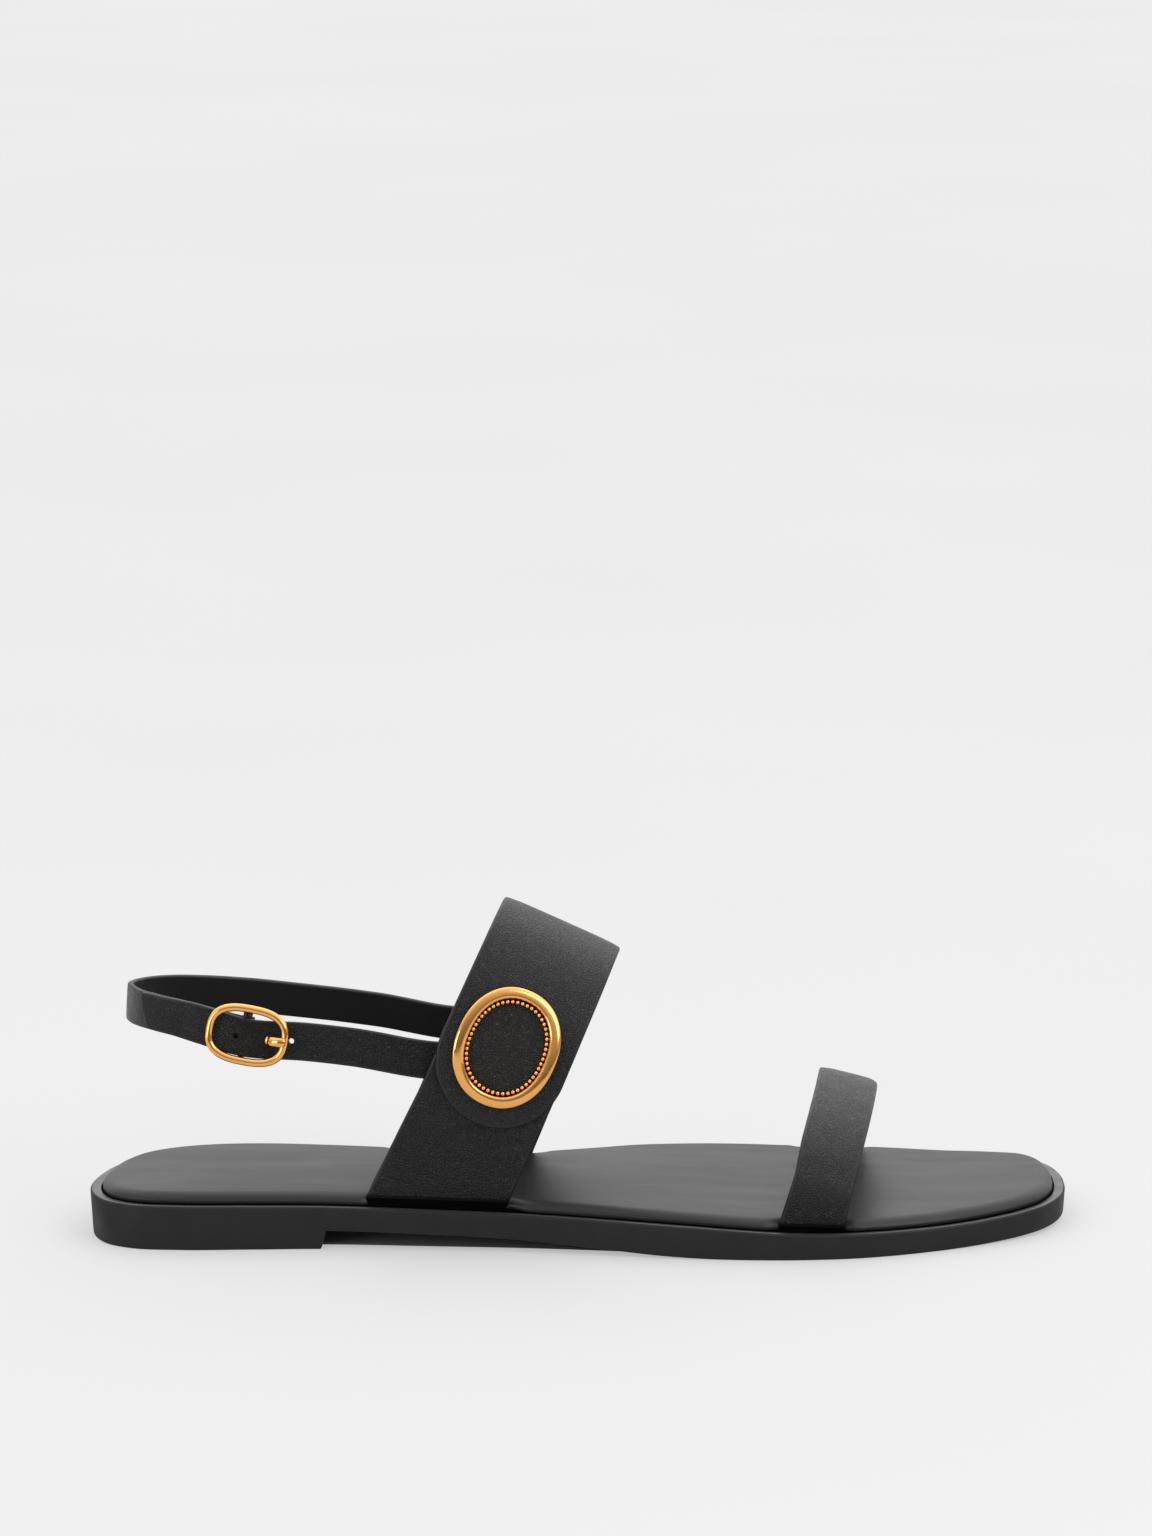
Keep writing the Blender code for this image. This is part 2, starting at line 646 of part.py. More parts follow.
def make_free_strap(sling, finish):
    """From behind the tab through the buckle to the tail that lies on the heel strap."""
    runs = np.linspace(sling.tail, sling.route.length, 60)
    _, up, outward = sling.frame(runs)
    middle = sling.route.at(runs) + outward * sling.lift(runs)[:, None]
    half = FREE_STRAP_WALL / 2
    near_end = np.clip((runs - sling.tail) / (TAIL_ROUND * SLING_WIDTH), 0.0, 1.0)
    narrowing = TAIL_TIP + (1 - TAIL_TIP) * np.sqrt(1 - (1 - near_end) ** 2)
    band = strap("free_strap", middle, up, SLING_WIDTH * narrowing, -half + 0.0 * runs,
                 half + 0.0 * runs, finish)
    for number in (-1, 0, 1):
        place = sling.bar + PRONG_PLACE + number * HOLE_PITCH
        centre = sling.route.at(place)
        _, _, out = sling.frame(place)
        reach = sling.lift([place])[0]
        if number == 0:
            radius = PRONG_HOLE_WIDTH / 2
        else:
            radius = HOLE_WIDTH / 2
        start, end = centre + out * (reach - FREE_STRAP_WALL), centre + out * (reach + FREE_STRAP_WALL)
        combine(band, rod("strap_hole_%d" % (number + 2), start, end, radius, finish), "DIFFERENCE")
    return band


def ring_out(sling):
    """How far the ring's middle plane lies outside the heel strap's middle."""
    reach = np.linspace(RING_LENGTH / 2 - 1.8 * RING_WIRE, RING_LENGTH / 2, 5)
    centre = sling.bar + RING_SHIFT
    crossing = np.max(sling.lift(np.concatenate([centre - reach, centre + reach])))
    return crossing + FREE_STRAP_WALL / 2 + CLEAR + RING_WIRE / 2


def oval(half_long, half_wide, count, power=2.5):
    """Points round a soft rectangle."""
    angle = np.linspace(0, 2 * math.pi, count, endpoint=False)
    cosine, sine = np.cos(angle), np.sin(angle)
    along = half_long * np.sign(cosine) * np.abs(cosine) ** (2 / power)
    across = half_wide * np.sign(sine) * np.abs(sine) ** (2 / power)
    return along, across


def make_buckle(sling, finish):
    wire = RING_WIRE / 2
    plane = ring_out(sling)
    along, up = oval(RING_LENGTH / 2 - wire, RING_HEIGHT / 2 - wire, 40)
    points = np.array([sling.point(a + RING_SHIFT, u + RING_RISE, plane) for a, u in zip(along, up)])
    _, _, outward = sling.frame(sling.bar)
    ring = weld(tube("buckle_frame", points, outward, wire, wire, finish, closed=True, sides=10))
    knee = SLING_WIDTH / 2 + CLEAR + BAR_WIRE / 2
    halves = []
    for side in (1, -1):
        reach = RING_HEIGHT / 2 - wire + side * RING_RISE
        rows = ((reach, plane), (0.5 * (reach + knee), 0.5 * plane), (knee, 0.0), (0.6 * knee, 0.0))
        halves.append([sling.point(0.0, side * u, out) for u, out in rows])
    points = np.array(halves[0] + halves[1][::-1])
    heading, _, _ = sling.frame(sling.bar)
    bar = tube("buckle_bar", points, heading, BAR_WIRE / 2, BAR_WIRE / 2, finish, sides=10)
    combine(ring, bar, "UNION")
    return ring


def make_prong(sling, finish):
    """From beside the bar up through the strap's hole and onto the ring."""
    plane = ring_out(sling)
    rest = plane + RING_WIRE / 2 + CLEAR + PRONG_DEPTH / 2
    strap_top = sling.lift([sling.bar + PRONG_PLACE])[0] + FREE_STRAP_WALL / 2
    start = BAR_WIRE / 2 + CLEAR
    end = RING_SHIFT + RING_LENGTH / 2 - 0.2 * RING_WIRE
    root, wide, deep = PRONG_ROOT / 2, PRONG_WIDTH / 2, PRONG_DEPTH / 2
    rows = (
        (start, 0.0, root, root),
        (0.55 * PRONG_PLACE, 0.02 * rest, root, root),
        (0.88 * PRONG_PLACE, 0.20 * rest, root, root),
        (1.00 * PRONG_PLACE, 0.5 * strap_top, root, root),
        (1.06 * PRONG_PLACE, 0.95 * strap_top, root, root),
        (1.16 * PRONG_PLACE, strap_top + 0.55 * PRONG_DEPTH, 0.75 * wide, 0.9 * deep),
        (1.40 * PRONG_PLACE, 0.97 * rest, wide, deep),
        (0.75 * end, rest, wide, deep),
        (0.93 * end, rest, wide, deep),
        (0.98 * end, rest, 0.8 * wide, 0.75 * deep),
        (end, rest, 0.45 * wide, 0.4 * deep),
    )
    points = np.array([sling.point(along, 0.0, out) for along, out, _, _ in rows])
    _, up, _ = sling.frame(sling.bar)
    half_side = np.array([row[2] for row in rows])
    half_up = np.array([row[3] for row in rows])
    return tube("buckle_prong", points, up, half_side, half_up, finish, sides=10)


def make_ornament(arch, finish):
    """A plain soft-oval ring that follows the flap, with a flat back."""
    centre = arch.lateral_run(ORNAMENT_HEIGHT)
    band, deep = ORNAMENT_BAND / 2, ORNAMENT_DEPTH / 2
    along, aside = oval(ORNAMENT_LONG / 2 - band, ORNAMENT_WIDE / 2 - band, 56, ORNAMENT_POWER)
    lift = LAP + STRAP_WALL / 2 + CLEAR + deep
    points = arch.surface(centre + along, aside + ORNAMENT_SHIFT, lift)
    upward = arch.surface(centre + along, aside + ORNAMENT_SHIFT, 2 * lift) - points
    return weld(tube("ornament", points, upward, deep, band, finish, closed=True, sides=10))


def build():
    clear_scene()
    leather = material("black_leather", (0.018, 0.018, 0.019), 0.52)
    footbed = material("black_footbed_leather", (0.040, 0.040, 0.042), 0.50)
    rubber = material("black_rubber", (0.022, 0.022, 0.023), 0.55)
    gold = material("polished_gold", (0.83, 0.50, 0.20), 0.16, 1.0)

    instep, toes = instep_arch(), toe_arch()
    sling = Sling(instep)

    make_outsole(rubber)
    insole = make_insole(footbed)
    for lateral, side in ((False, "medial"), (True, "lateral")):
        runs = root_runs(instep, lateral)
        width = instep_width(instep, runs)
        combine(insole, make_notch("instep_notch_" + side, instep, runs, width, footbed), "DIFFERENCE")
        runs = root_runs(toes, lateral)
        width = TOE_WIDTH + 0.0 * runs
        combine(insole, make_notch("toe_notch_" + side, toes, runs, width, footbed), "DIFFERENCE")

    upper = make_main_strap(instep, leather)
    combine(upper, make_tab(instep, leather), "UNION")
    combine(upper, make_heel_strap(sling, leather), "UNION")
    combine(upper, make_free_strap(sling, leather), "UNION")
    make_toe_strap(toes, leather)
    make_buckle(sling, gold)
    make_prong(sling, gold)
    make_ornament(instep, gold)


build()
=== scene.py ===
"""Looks of a flat slingback sandal for the right foot: leather straps, padded footbed, gold buckle.

Metres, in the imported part's frame: +X to the toe, +Y to the medial side, +Z up, the floor at 0.
Plan positions are measured from the back end of the sole and moved by HEEL_POINT.
"""

import math

import bmesh
import bpy
import numpy as np
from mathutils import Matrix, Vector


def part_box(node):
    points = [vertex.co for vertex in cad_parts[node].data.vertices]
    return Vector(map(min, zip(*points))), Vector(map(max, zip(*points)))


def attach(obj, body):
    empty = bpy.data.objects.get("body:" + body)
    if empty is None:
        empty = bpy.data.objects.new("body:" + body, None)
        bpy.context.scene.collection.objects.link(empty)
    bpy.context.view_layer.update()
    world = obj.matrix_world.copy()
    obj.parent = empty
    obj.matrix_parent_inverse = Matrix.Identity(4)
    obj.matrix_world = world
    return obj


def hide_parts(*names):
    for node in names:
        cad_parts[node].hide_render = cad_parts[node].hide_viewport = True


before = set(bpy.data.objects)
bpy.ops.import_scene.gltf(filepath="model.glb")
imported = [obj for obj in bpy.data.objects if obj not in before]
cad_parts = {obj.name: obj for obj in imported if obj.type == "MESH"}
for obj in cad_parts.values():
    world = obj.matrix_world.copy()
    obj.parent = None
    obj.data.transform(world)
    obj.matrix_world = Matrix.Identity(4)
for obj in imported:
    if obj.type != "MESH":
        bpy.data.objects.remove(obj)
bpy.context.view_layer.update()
SOLE_LOW, SOLE_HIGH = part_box("outsole")

# Sole and footbed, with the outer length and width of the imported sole
LENGTH = SOLE_HIGH.x - SOLE_LOW.x
HEEL_POINT = -SOLE_LOW.x
BALL_WIDTH = SOLE_HIGH.y - SOLE_LOW.y
HEEL_WIDTH = 0.0575
HEEL_HEIGHT = 0.0118
FOREFOOT_HEIGHT = 0.0065
SHANK_LIFT = 0.0048
TOE_SPRING = 0.0012
BREAST = 0.0595
BREAST_SLANT = 0.0018
EDGE_ROUND = 0.0007
BASE_TAPER = 0.0006
RIM_SIDE = 0.0019
RIM_END = 0.0029
POCKET_DEPTH = 0.0030
CROWN = 0.0024
SHOULDER = 0.0035
SEAM_STEP = 0.0003
SEAM_GAP = 0.0003
FOOTBED_GAP = 0.0006
FOOTBED_DOME = 0.0005
DOME_POWER = 0.8
DOME_END = 0.030

# Shares of LENGTH: where the wider seam of the footbed has come in at the heel, where it ends at
# the toe, and over how much
WIDE_SEAM_HEEL = 0.06
WIDE_SEAM_TOE = 0.98
WIDE_SEAM_FADE = 0.05

# Soft seats of the heel and the ball: place along, spread, share of the dome taken away
SEATS = ((0.036, 0.022, 0.55), (0.176, 0.026, 0.45))

# Instep strap, with its tab and its round-ended flap
STRAP_WALL = 0.0020
STRAP_EASE = 0.0007
INSTEP_BACK = 0.0693
INSTEP_RUN = 0.0378
INSTEP_CREST = 0.0777
INSTEP_LEAN = 0.424
INSTEP_SKEW = 0.105
INSTEP_FALL = math.radians(24.1)
INSTEP_WIDTH_LOW = 0.0348
INSTEP_WIDTH_HIGH = 0.0325
INSTEP_DROP = 0.0110
LAP = 0.00215
TAB_TOP = 0.0690
FLAP_CENTRE = 0.0500
INSTEP_CURL = 0.0003
INSTEP_CURL_REACH = 0.012

# Toe strap
TOE_BACK = 0.1739
TOE_RUN = 0.0172
TOE_CREST = 0.0336
TOE_LEAN = 0.2600
TOE_SKEW = 0.1000
TOE_FALL = math.radians(15.0)
TOE_WIDTH = 0.0159
TOE_DROP = 0.0060
TOE_CURL = 0.0013
TOE_CURL_REACH = 0.016

# Faces and edges of the straps
STRAP_DROOP = 0.00022
TAB_DROOP = 0.00012
TAB_EASE = 0.0001
CURL_SHIFT = 0.6
CURL_POWER = 7

# Roots of the straps: where their strips end, how they turn in just above the rim, how high painted shade
# darkens them there and over what height it fades, and how the footbed's edge draws back round them
ROOT_END = 0.0008
INSTEP_PAINTED_SHADE = 0.0017
TOE_PAINTED_SHADE = 0.0007
ROOT_SHADE_FADE = 0.0008
ROOT_TURN = 0.0007
PRESS_HEIGHT = 0.0060
PRESS_SHARE = 1.04
PRESS_EASE = 0.0022

# Sling
SLING_WIDTH = 0.0094
FREE_WIDTH = 0.0097
FREE_DROP = 0.0004
TAIL_RISE = 0.0004
HEEL_STRAP_WALL = 0.0016
FREE_STRAP_WALL = 0.0014
SLING_EASE = 0.0005
SLING_HEIGHT = 0.0600
SLING_LEAN_SIDE = math.radians(10.0)
SLING_LEAN_BACK = math.radians(3.0)
SLING_TURN = 0.0400
SLING_TUCK = 0.0090
SLING_JOIN_MEDIAL = 0.0455
SLING_JOIN_LATERAL = 0.0493
BAR_PLACE = 0.0408
TAIL_END = 0.0172
TAIL_NOSE = 0.0006
TAIL_SLANT = 0.0014
SLING_DROOP = 0.0001
SLING_END = 0.0006
SAG_PLACE = 0.003
SAG_SPREAD = 0.012
TAIL_RIDE = 0.022
TAIL_NARROW = 0.0003
NARROW_PLACE = 0.012
NARROW_REACH = 0.010

# Buckle
RING_LENGTH = 0.0214
RING_HEIGHT = 0.0153
RING_SHIFT = 0.0013
RING_RISE = 0.0004
RING_WIRE = 0.0020
BAR_WIRE = 0.0016
BAR_GAP = 0.0002
EYE_WALL = 0.0009
EYE_RISE = 0.0010
PRONG_WIDTH = 0.0024
PRONG_DEPTH = 0.0015
PRONG_ROOT = 0.0011
PRONG_PLACE = 0.0065
PRONG_RISE = 0.0008
HOLE_WIDTH = 0.0014
HOLE_PLACES = (-0.0017, PRONG_PLACE, 0.0123)

# Ornament on the flap
ORNAMENT_HEIGHT = 0.0530
ORNAMENT_SHIFT = -0.0003
ORNAMENT_LONG = 0.0292
ORNAMENT_WIDE = 0.0262
ORNAMENT_POWER = 2.15
ORNAMENT_BAND = 0.0030
ORNAMENT_DEPTH = 0.0018
BEAD_RADIUS = 0.00055
BEAD_PITCH = 0.00128
BEAD_RINGS = 10
BEAD_SEGMENTS = 16

# How far a finer noise stirs the cells of the leather's grain, as a share of a cell
GRAIN_STIR = 0.35

# Lights: name, place, aim, size across and up, watts
LIGHTS = (
    ("window_strip", (0.95, -0.30, 1.00), (0.09, 0.00, 0.040), (0.25, 1.20), 1.6),
    ("front_softbox", (0.95, -0.95, 0.92), (0.09, 0.00, 0.040), (0.70, 0.70), 6.5),
    ("left_softbox", (-0.80, -1.00, 0.34), (0.00, 0.00, 0.050), (0.50, 0.40), 2.6),
    ("heel_softbox", (-0.95, -0.57, 0.16), (0.00, -0.02, 0.055), (0.25, 0.35), 1.0),
)

# Camera, at the photograph's angle
CAMERA_PLACE = (0.0954, -1.5410, 0.4391)
CAMERA_PITCH = math.radians(11.73)
CAMERA_LENS = 145.1
CAMERA_SENSOR = 36.0
CAMERA_CLIP = (0.05, 60.0)

# Room and floor: light by height and from front to back, tone of the floor, and the patch of floor
# under the arch, drawn in from the sole's edge
ROOM_LOW = 0.34
ROOM_HIGH = 1.75
ROOM_FRONT = 0.42
ROOM_BACK = 1.55
FLOOR_REACH = 9.0
FLOOR_TONE = 0.24
FLOOR_GLOW = 0.43
SHADE_INSET = 0.0050
SHADE_RISE = 0.0001
SHADE_END = 0.72

# Sole outline from the heel's back end along the lateral side to the toe and back along the
# medial side: share of LENGTH, share of BALL_WIDTH across.
OUTLINE = (
    (0.0000, -0.103), (0.0055, -0.213), (0.0175, -0.279), (0.0420, -0.330), (0.0960, -0.355),
    (0.1590, -0.351), (0.2375, -0.343), (0.3490, -0.364), (0.4390, -0.383), (0.5200, -0.412),
    (0.5930, -0.446), (0.6665, -0.465), (0.7200, -0.465), (0.7750, -0.447), (0.8240, -0.407),
    (0.8735, -0.347), (0.9250, -0.267), (0.9530, -0.210), (0.9775, -0.136), (0.9925, -0.049),
    (1.0000, 0.087), (0.9965, 0.241), (0.9880, 0.330), (0.9690, 0.404), (0.9355, 0.451),
    (0.8800, 0.490), (0.8120, 0.528), (0.7440, 0.533), (0.6725, 0.518), (0.6010, 0.474),
    (0.5530, 0.436), (0.5050, 0.375), (0.4495, 0.313), (0.3735, 0.302), (0.2980, 0.323),
    (0.2340, 0.339), (0.1745, 0.346), (0.1227, 0.332), (0.0790, 0.293), (0.0430, 0.225),
    (0.0190, 0.122), (0.0055, 0.006), (0.0000, -0.103),
)
TOE_ROW = 20

# Top of the rim: share of LENGTH, share of the drop from HEEL_HEIGHT to FOREFOOT_HEIGHT.
TOP_LINE = (
    (0.00, 1.00), (0.12, 0.97), (0.23, 0.91), (0.35, 0.80), (0.43, 0.70), (0.52, 0.54),
    (0.61, 0.37), (0.67, 0.20), (0.72, 0.07), (0.80, 0.00), (1.00, 0.00),
)

# Underside in front of the breast: share of LENGTH, share of SHANK_LIFT.
UNDER_LINE = (
    (0.23, 1.02), (0.26, 1.00), (0.35, 0.90), (0.44, 0.70), (0.52, 0.35), (0.58, 0.12),
    (0.63, 0.02), (0.67, 0.00), (1.00, 0.00),
)

# Arch of a strap over the foot, medial root to lateral root: share of the half span across,
# share of the rise.
INSTEP_ARCH = (
    (0.98, 0.000), (0.99, 0.130), (1.06, 0.220), (1.18, 0.350), (1.26, 0.500), (1.22, 0.670),
    (1.00, 0.840), (0.62, 0.955), (0.14, 1.000), (-0.34, 0.968), (-0.76, 0.870), (-1.04, 0.710),
    (-1.15, 0.520), (-1.12, 0.340), (-1.04, 0.210), (-0.99, 0.120), (-0.98, 0.000),
)
TOE_ARCH = (
    (0.99, 0.000), (0.99, 0.150), (1.02, 0.370), (0.98, 0.620), (0.79, 0.845), (0.47, 0.965),
    (0.10, 1.000), (-0.28, 0.962), (-0.63, 0.850), (-0.90, 0.650), (-1.01, 0.420), (-0.99, 0.150),
    (-0.99, 0.000),
)

# Edges of the straps, drawn in or let out: drop below the crest, less than nothing on the medial
# side, and how far the back edge and the front edge move towards the toe.
INSTEP_EDGES = (
    (-0.0677, 0.0000, -0.0006), (-0.0497, 0.0000, -0.0006), (-0.0350, 0.0000, -0.0004),
    (-0.0220, 0.0000, 0.0000),
)
TAB_EDGES = (
    (0.0117, 0.0000, 0.0000), (0.0257, 0.0004, -0.0004), (0.0379, 0.0006, -0.0008),
    (0.0430, 0.0006, -0.0009), (0.0493, 0.0003, -0.0010), (0.0570, 0.0000, -0.0011),
    (0.0677, -0.0005, -0.0015),
)
TOE_EDGES = (
    (-0.0207, 0.0014, 0.0000), (-0.0146, 0.0009, 0.0000), (-0.0086, 0.0002, 0.0000),
    (-0.0036, 0.0000, 0.0000), (0.0070, 0.0000, 0.0000), (0.0136, 0.0006, 0.0000),
    (0.0216, 0.0003, 0.0005), (0.0276, 0.0001, 0.0007),
)

# Sling round the heel between its joins, medial to lateral: share of LENGTH from the back end,
# share of HEEL_WIDTH across, share of SLING_HEIGHT.
SLING = (
    (0.2900, 0.500, 0.813), (0.2500, 0.487, 0.839), (0.2050, 0.468, 0.865),
    (0.1580, 0.433, 0.894), (0.1130, 0.374, 0.919), (0.0729, 0.262, 0.945), (0.0503, 0.128, 0.964),
    (0.0408, -0.020, 0.980), (0.0476, -0.165, 0.990), (0.0699, -0.295, 0.992), (0.1085, -0.386, 0.974),
    (0.1650, -0.436, 0.925), (0.2240, -0.468, 0.908), (0.2700, -0.490, 0.888),
)

# How far the free strap's middle lies outside the heel strap's: distance from the bar as a
# share of RING_LENGTH, share of the two half walls with their gap.
FREE_LIFT = (
    (-2.50, 1.30), (-1.25, 1.18), (-1.00, 1.04), (-0.60, 1.00), (-0.46, 1.02), (-0.34, 1.12),
    (-0.22, 1.40), (-0.10, 1.66), (0.00, 1.74), (0.10, 1.66), (0.22, 1.40), (0.34, 1.12),
    (0.46, 0.98), (0.90, 0.66), (1.40, 0.30), (2.60, 0.00),
)

# Soft waves of the heel strap: distance from the tail's end, spread, how far it stands out.
SLING_WAVES = ((-0.0115, 0.0030, -0.00025), (-0.0040, 0.0022, 0.00030), (0.0105, 0.0035, -0.00020))

UP = np.array([0.0, 0.0, 1.0])
QUARTER_TURN = np.radians((0.0, 22.5, 45.0, 67.5, 90.0))
SHARP_ANGLE = math.radians(50.0)
SKIN_COLUMNS = 18


# Lines and tables

def hermite(knots, values, at):
    """Smooth values through the knots, one column for each coordinate."""
    knots = np.asarray(knots, float)
    values = np.asarray(values, float)
    at = np.asarray(at, float)
    gap = np.diff(knots)[:, None]
    slope = np.diff(values, axis=0) / gap
    bend = np.empty_like(values)
    bend[0] = slope[0]
    bend[-1] = slope[-1]
    bend[1:-1] = (slope[:-1] * gap[1:] + slope[1:] * gap[:-1]) / (gap[1:] + gap[:-1])
    seat = np.clip(np.searchsorted(knots, at, side="right") - 1, 0, len(gap) - 1)
    step = gap[seat]
    t = ((at - knots[seat])[:, None]) / step
    near = (1 + 2 * t) * (1 - t) ** 2 * values[seat] + t * (1 - t) ** 2 * step * bend[seat]
    far = t ** 2 * (3 - 2 * t) * values[seat + 1] + t ** 2 * (t - 1) * step * bend[seat + 1]
    return near + far


def profile(rows, share):
    """One smooth value of a two-column table."""
    rows = np.asarray(rows, float)
    flat = np.clip(np.ravel(share), rows[0, 0], rows[-1, 0])
    return hermite(rows[:, 0], rows[:, 1:2], flat)[:, 0].reshape(np.shape(share))


def runs_along(points):
    """Length run at each point of a line, from its first."""
    return np.concatenate([[0.0], np.cumsum(np.linalg.norm(np.diff(points, axis=0), axis=1))])


def unit(vectors):
    return vectors / np.linalg.norm(vectors, axis=-1, keepdims=True)


def smooth_step(share):
    share = np.clip(share, 0.0, 1.0)
    return share ** 2 * (3 - 2 * share)


class Route:
    """A smooth line through points, read by the length run along it."""

    def __init__(self, points, steps=60):
        points = np.asarray(points, float)
        knots = runs_along(points)
        self.line = hermite(knots, points, np.linspace(0.0, knots[-1], steps * len(points)))
        self.run = runs_along(self.line)
        self.length = self.run[-1]

    def at(self, run):
        return np.stack([np.interp(run, self.run, column) for column in self.line.T], axis=-1)

    def heading(self, run):
        pace = 0.0008
        low = np.clip(np.asarray(run) - pace, 0.0, self.length)
        high = np.clip(np.asarray(run) + pace, 0.0, self.length)
        return unit(self.at(high) - self.at(low))

    def run_where(self, column, value, start, stop):
        """Length run at which a coordinate has a value, between two lengths run."""
        runs = np.linspace(start, stop, 600)
        found = self.at(runs)[:, column]
        order = np.argsort(found)
        return float(np.interp(value, found[order], runs[order]))


def oval(half_long, half_wide, count, power):
    """Points round a soft rectangle."""
    angle = np.linspace(0, 2 * math.pi, count, endpoint=False)
    cosine, sine = np.cos(angle), np.sin(angle)
    along = half_long * np.sign(cosine) * np.abs(cosine) ** (2 / power)
    across = half_wide * np.sign(sine) * np.abs(sine) ** (2 / power)
    return along, across


# Meshes

def placed(name, data):
    """A new object in the scene, at the origin."""
    item = bpy.data.objects.new(name, data)
    bpy.context.scene.collection.objects.link(item)
    return item


def make_piece(name, verts, faces, finishes, places=None, trim=None):
    """A closed mesh with its finishes.

    Where `trim` gives a plane and two rises, the mesh ends on the plane, takes its last finish, a painted
    shade, up to the lower rise and its last but one, a fading painted shade, up to the higher.
    """
    shell = bmesh.new()
    made = [shell.verts.new(point) for point in verts]
    for row, face in enumerate(faces):
        skin = shell.faces.new([made[index] for index in face])
        if places is not None:
            skin.material_index = places[row]
    bmesh.ops.remove_doubles(shell, verts=shell.verts, dist=1e-7)
    if trim is not None:
        point, normal, painted_shade, shade_fading = trim
        geometry = shell.verts[:] + shell.edges[:] + shell.faces[:]
        bmesh.ops.bisect_plane(shell, geom=geometry, plane_co=point, plane_no=normal, clear_inner=True)
        open_edges = [edge for edge in shell.edges if edge.is_boundary]
        bmesh.ops.holes_fill(shell, edges=open_edges, sides=0)
        for rise, finish in ((shade_fading, len(finishes) - 2), (painted_shade, len(finishes) - 1)):
            geometry = shell.verts[:] + shell.edges[:] + shell.faces[:]
            raised = np.array(point) + normal * rise
            bmesh.ops.bisect_plane(shell, geom=geometry, plane_co=raised, plane_no=normal)
            for skin in shell.faces:
                if np.dot(np.array(skin.calc_center_median()) - raised, normal) < 0.0:
                    skin.material_index = finish
    bmesh.ops.recalc_face_normals(shell, faces=shell.faces)
    mesh = bpy.data.meshes.new(name)
    shell.to_mesh(mesh)
    shell.free()
    for finish in finishes:
        mesh.materials.append(finish)
    mesh.shade_smooth()
    mesh.set_sharp_from_angle(angle=SHARP_ANGLE)
    return placed(name, mesh)


def loops_to_faces(loops, count):
    """Quads between neighbouring closed rows of `count` points."""
    faces = []
    for row in range(loops - 1):
        low, high = row * count, (row + 1) * count
        for place in range(count):
            after = (place + 1) % count
            faces.append((low + place, low + after, high + after, high + place))
    return faces


def tube(name, points, side, half_side, half_up, finish, closed=False, sides=20, power=2.0):
    """A rod along points, with half sizes along the side direction and square to it."""
    if closed:
        heading = unit(np.roll(points, -1, axis=0) - np.roll(points, 1, axis=0))
    else:
        heading = unit(np.gradient(points, axis=0))
    side = np.broadcast_to(side, points.shape)
    side = unit(side - heading * np.sum(side * heading, axis=1, keepdims=True))
    over = np.cross(heading, side)
    reach = np.broadcast_to(half_side, len(points))[:, None, None]
    rise = np.broadcast_to(half_up, len(points))[:, None, None]
    out, up = oval(1.0, 1.0, sides, power)
    rings = points[:, None] + side[:, None] * out[None, :, None] * reach
    rings = rings + over[:, None] * up[None, :, None] * rise
    if closed:
        rings = np.concatenate([rings, rings[:1]])
    faces = loops_to_faces(len(rings), sides)
    if not closed:
        last = (len(rings) - 1) * sides
        faces += [tuple(range(sides)), tuple(range(last, last + sides))]
    return make_piece(name, rings.reshape(-1, 3), faces, [finish])


def rod(name, start, end, radius, finish):
    points = np.linspace(start, end, 2)
    side = np.cross(unit(points[1] - points[0]), (0.31, 0.95, 0.05))
    return tube(name, points, side, radius, radius, finish, sides=32)


def carve(piece, tool, operation):
    """Join a tool to a piece, or cut it away, and leave a plain mesh."""
    step = piece.modifiers.new(tool.name, "BOOLEAN")
    step.operation = operation
    step.solver = "EXACT"
    step.object = tool
    bake_modifiers(piece)
    bpy.data.objects.remove(tool, do_unlink=True)


def bake_modifiers(piece):
    graph = bpy.context.evaluated_depsgraph_get()
    mesh = bpy.data.meshes.new_from_object(piece.evaluated_get(graph))
    piece.modifiers.clear()
    piece.data = mesh


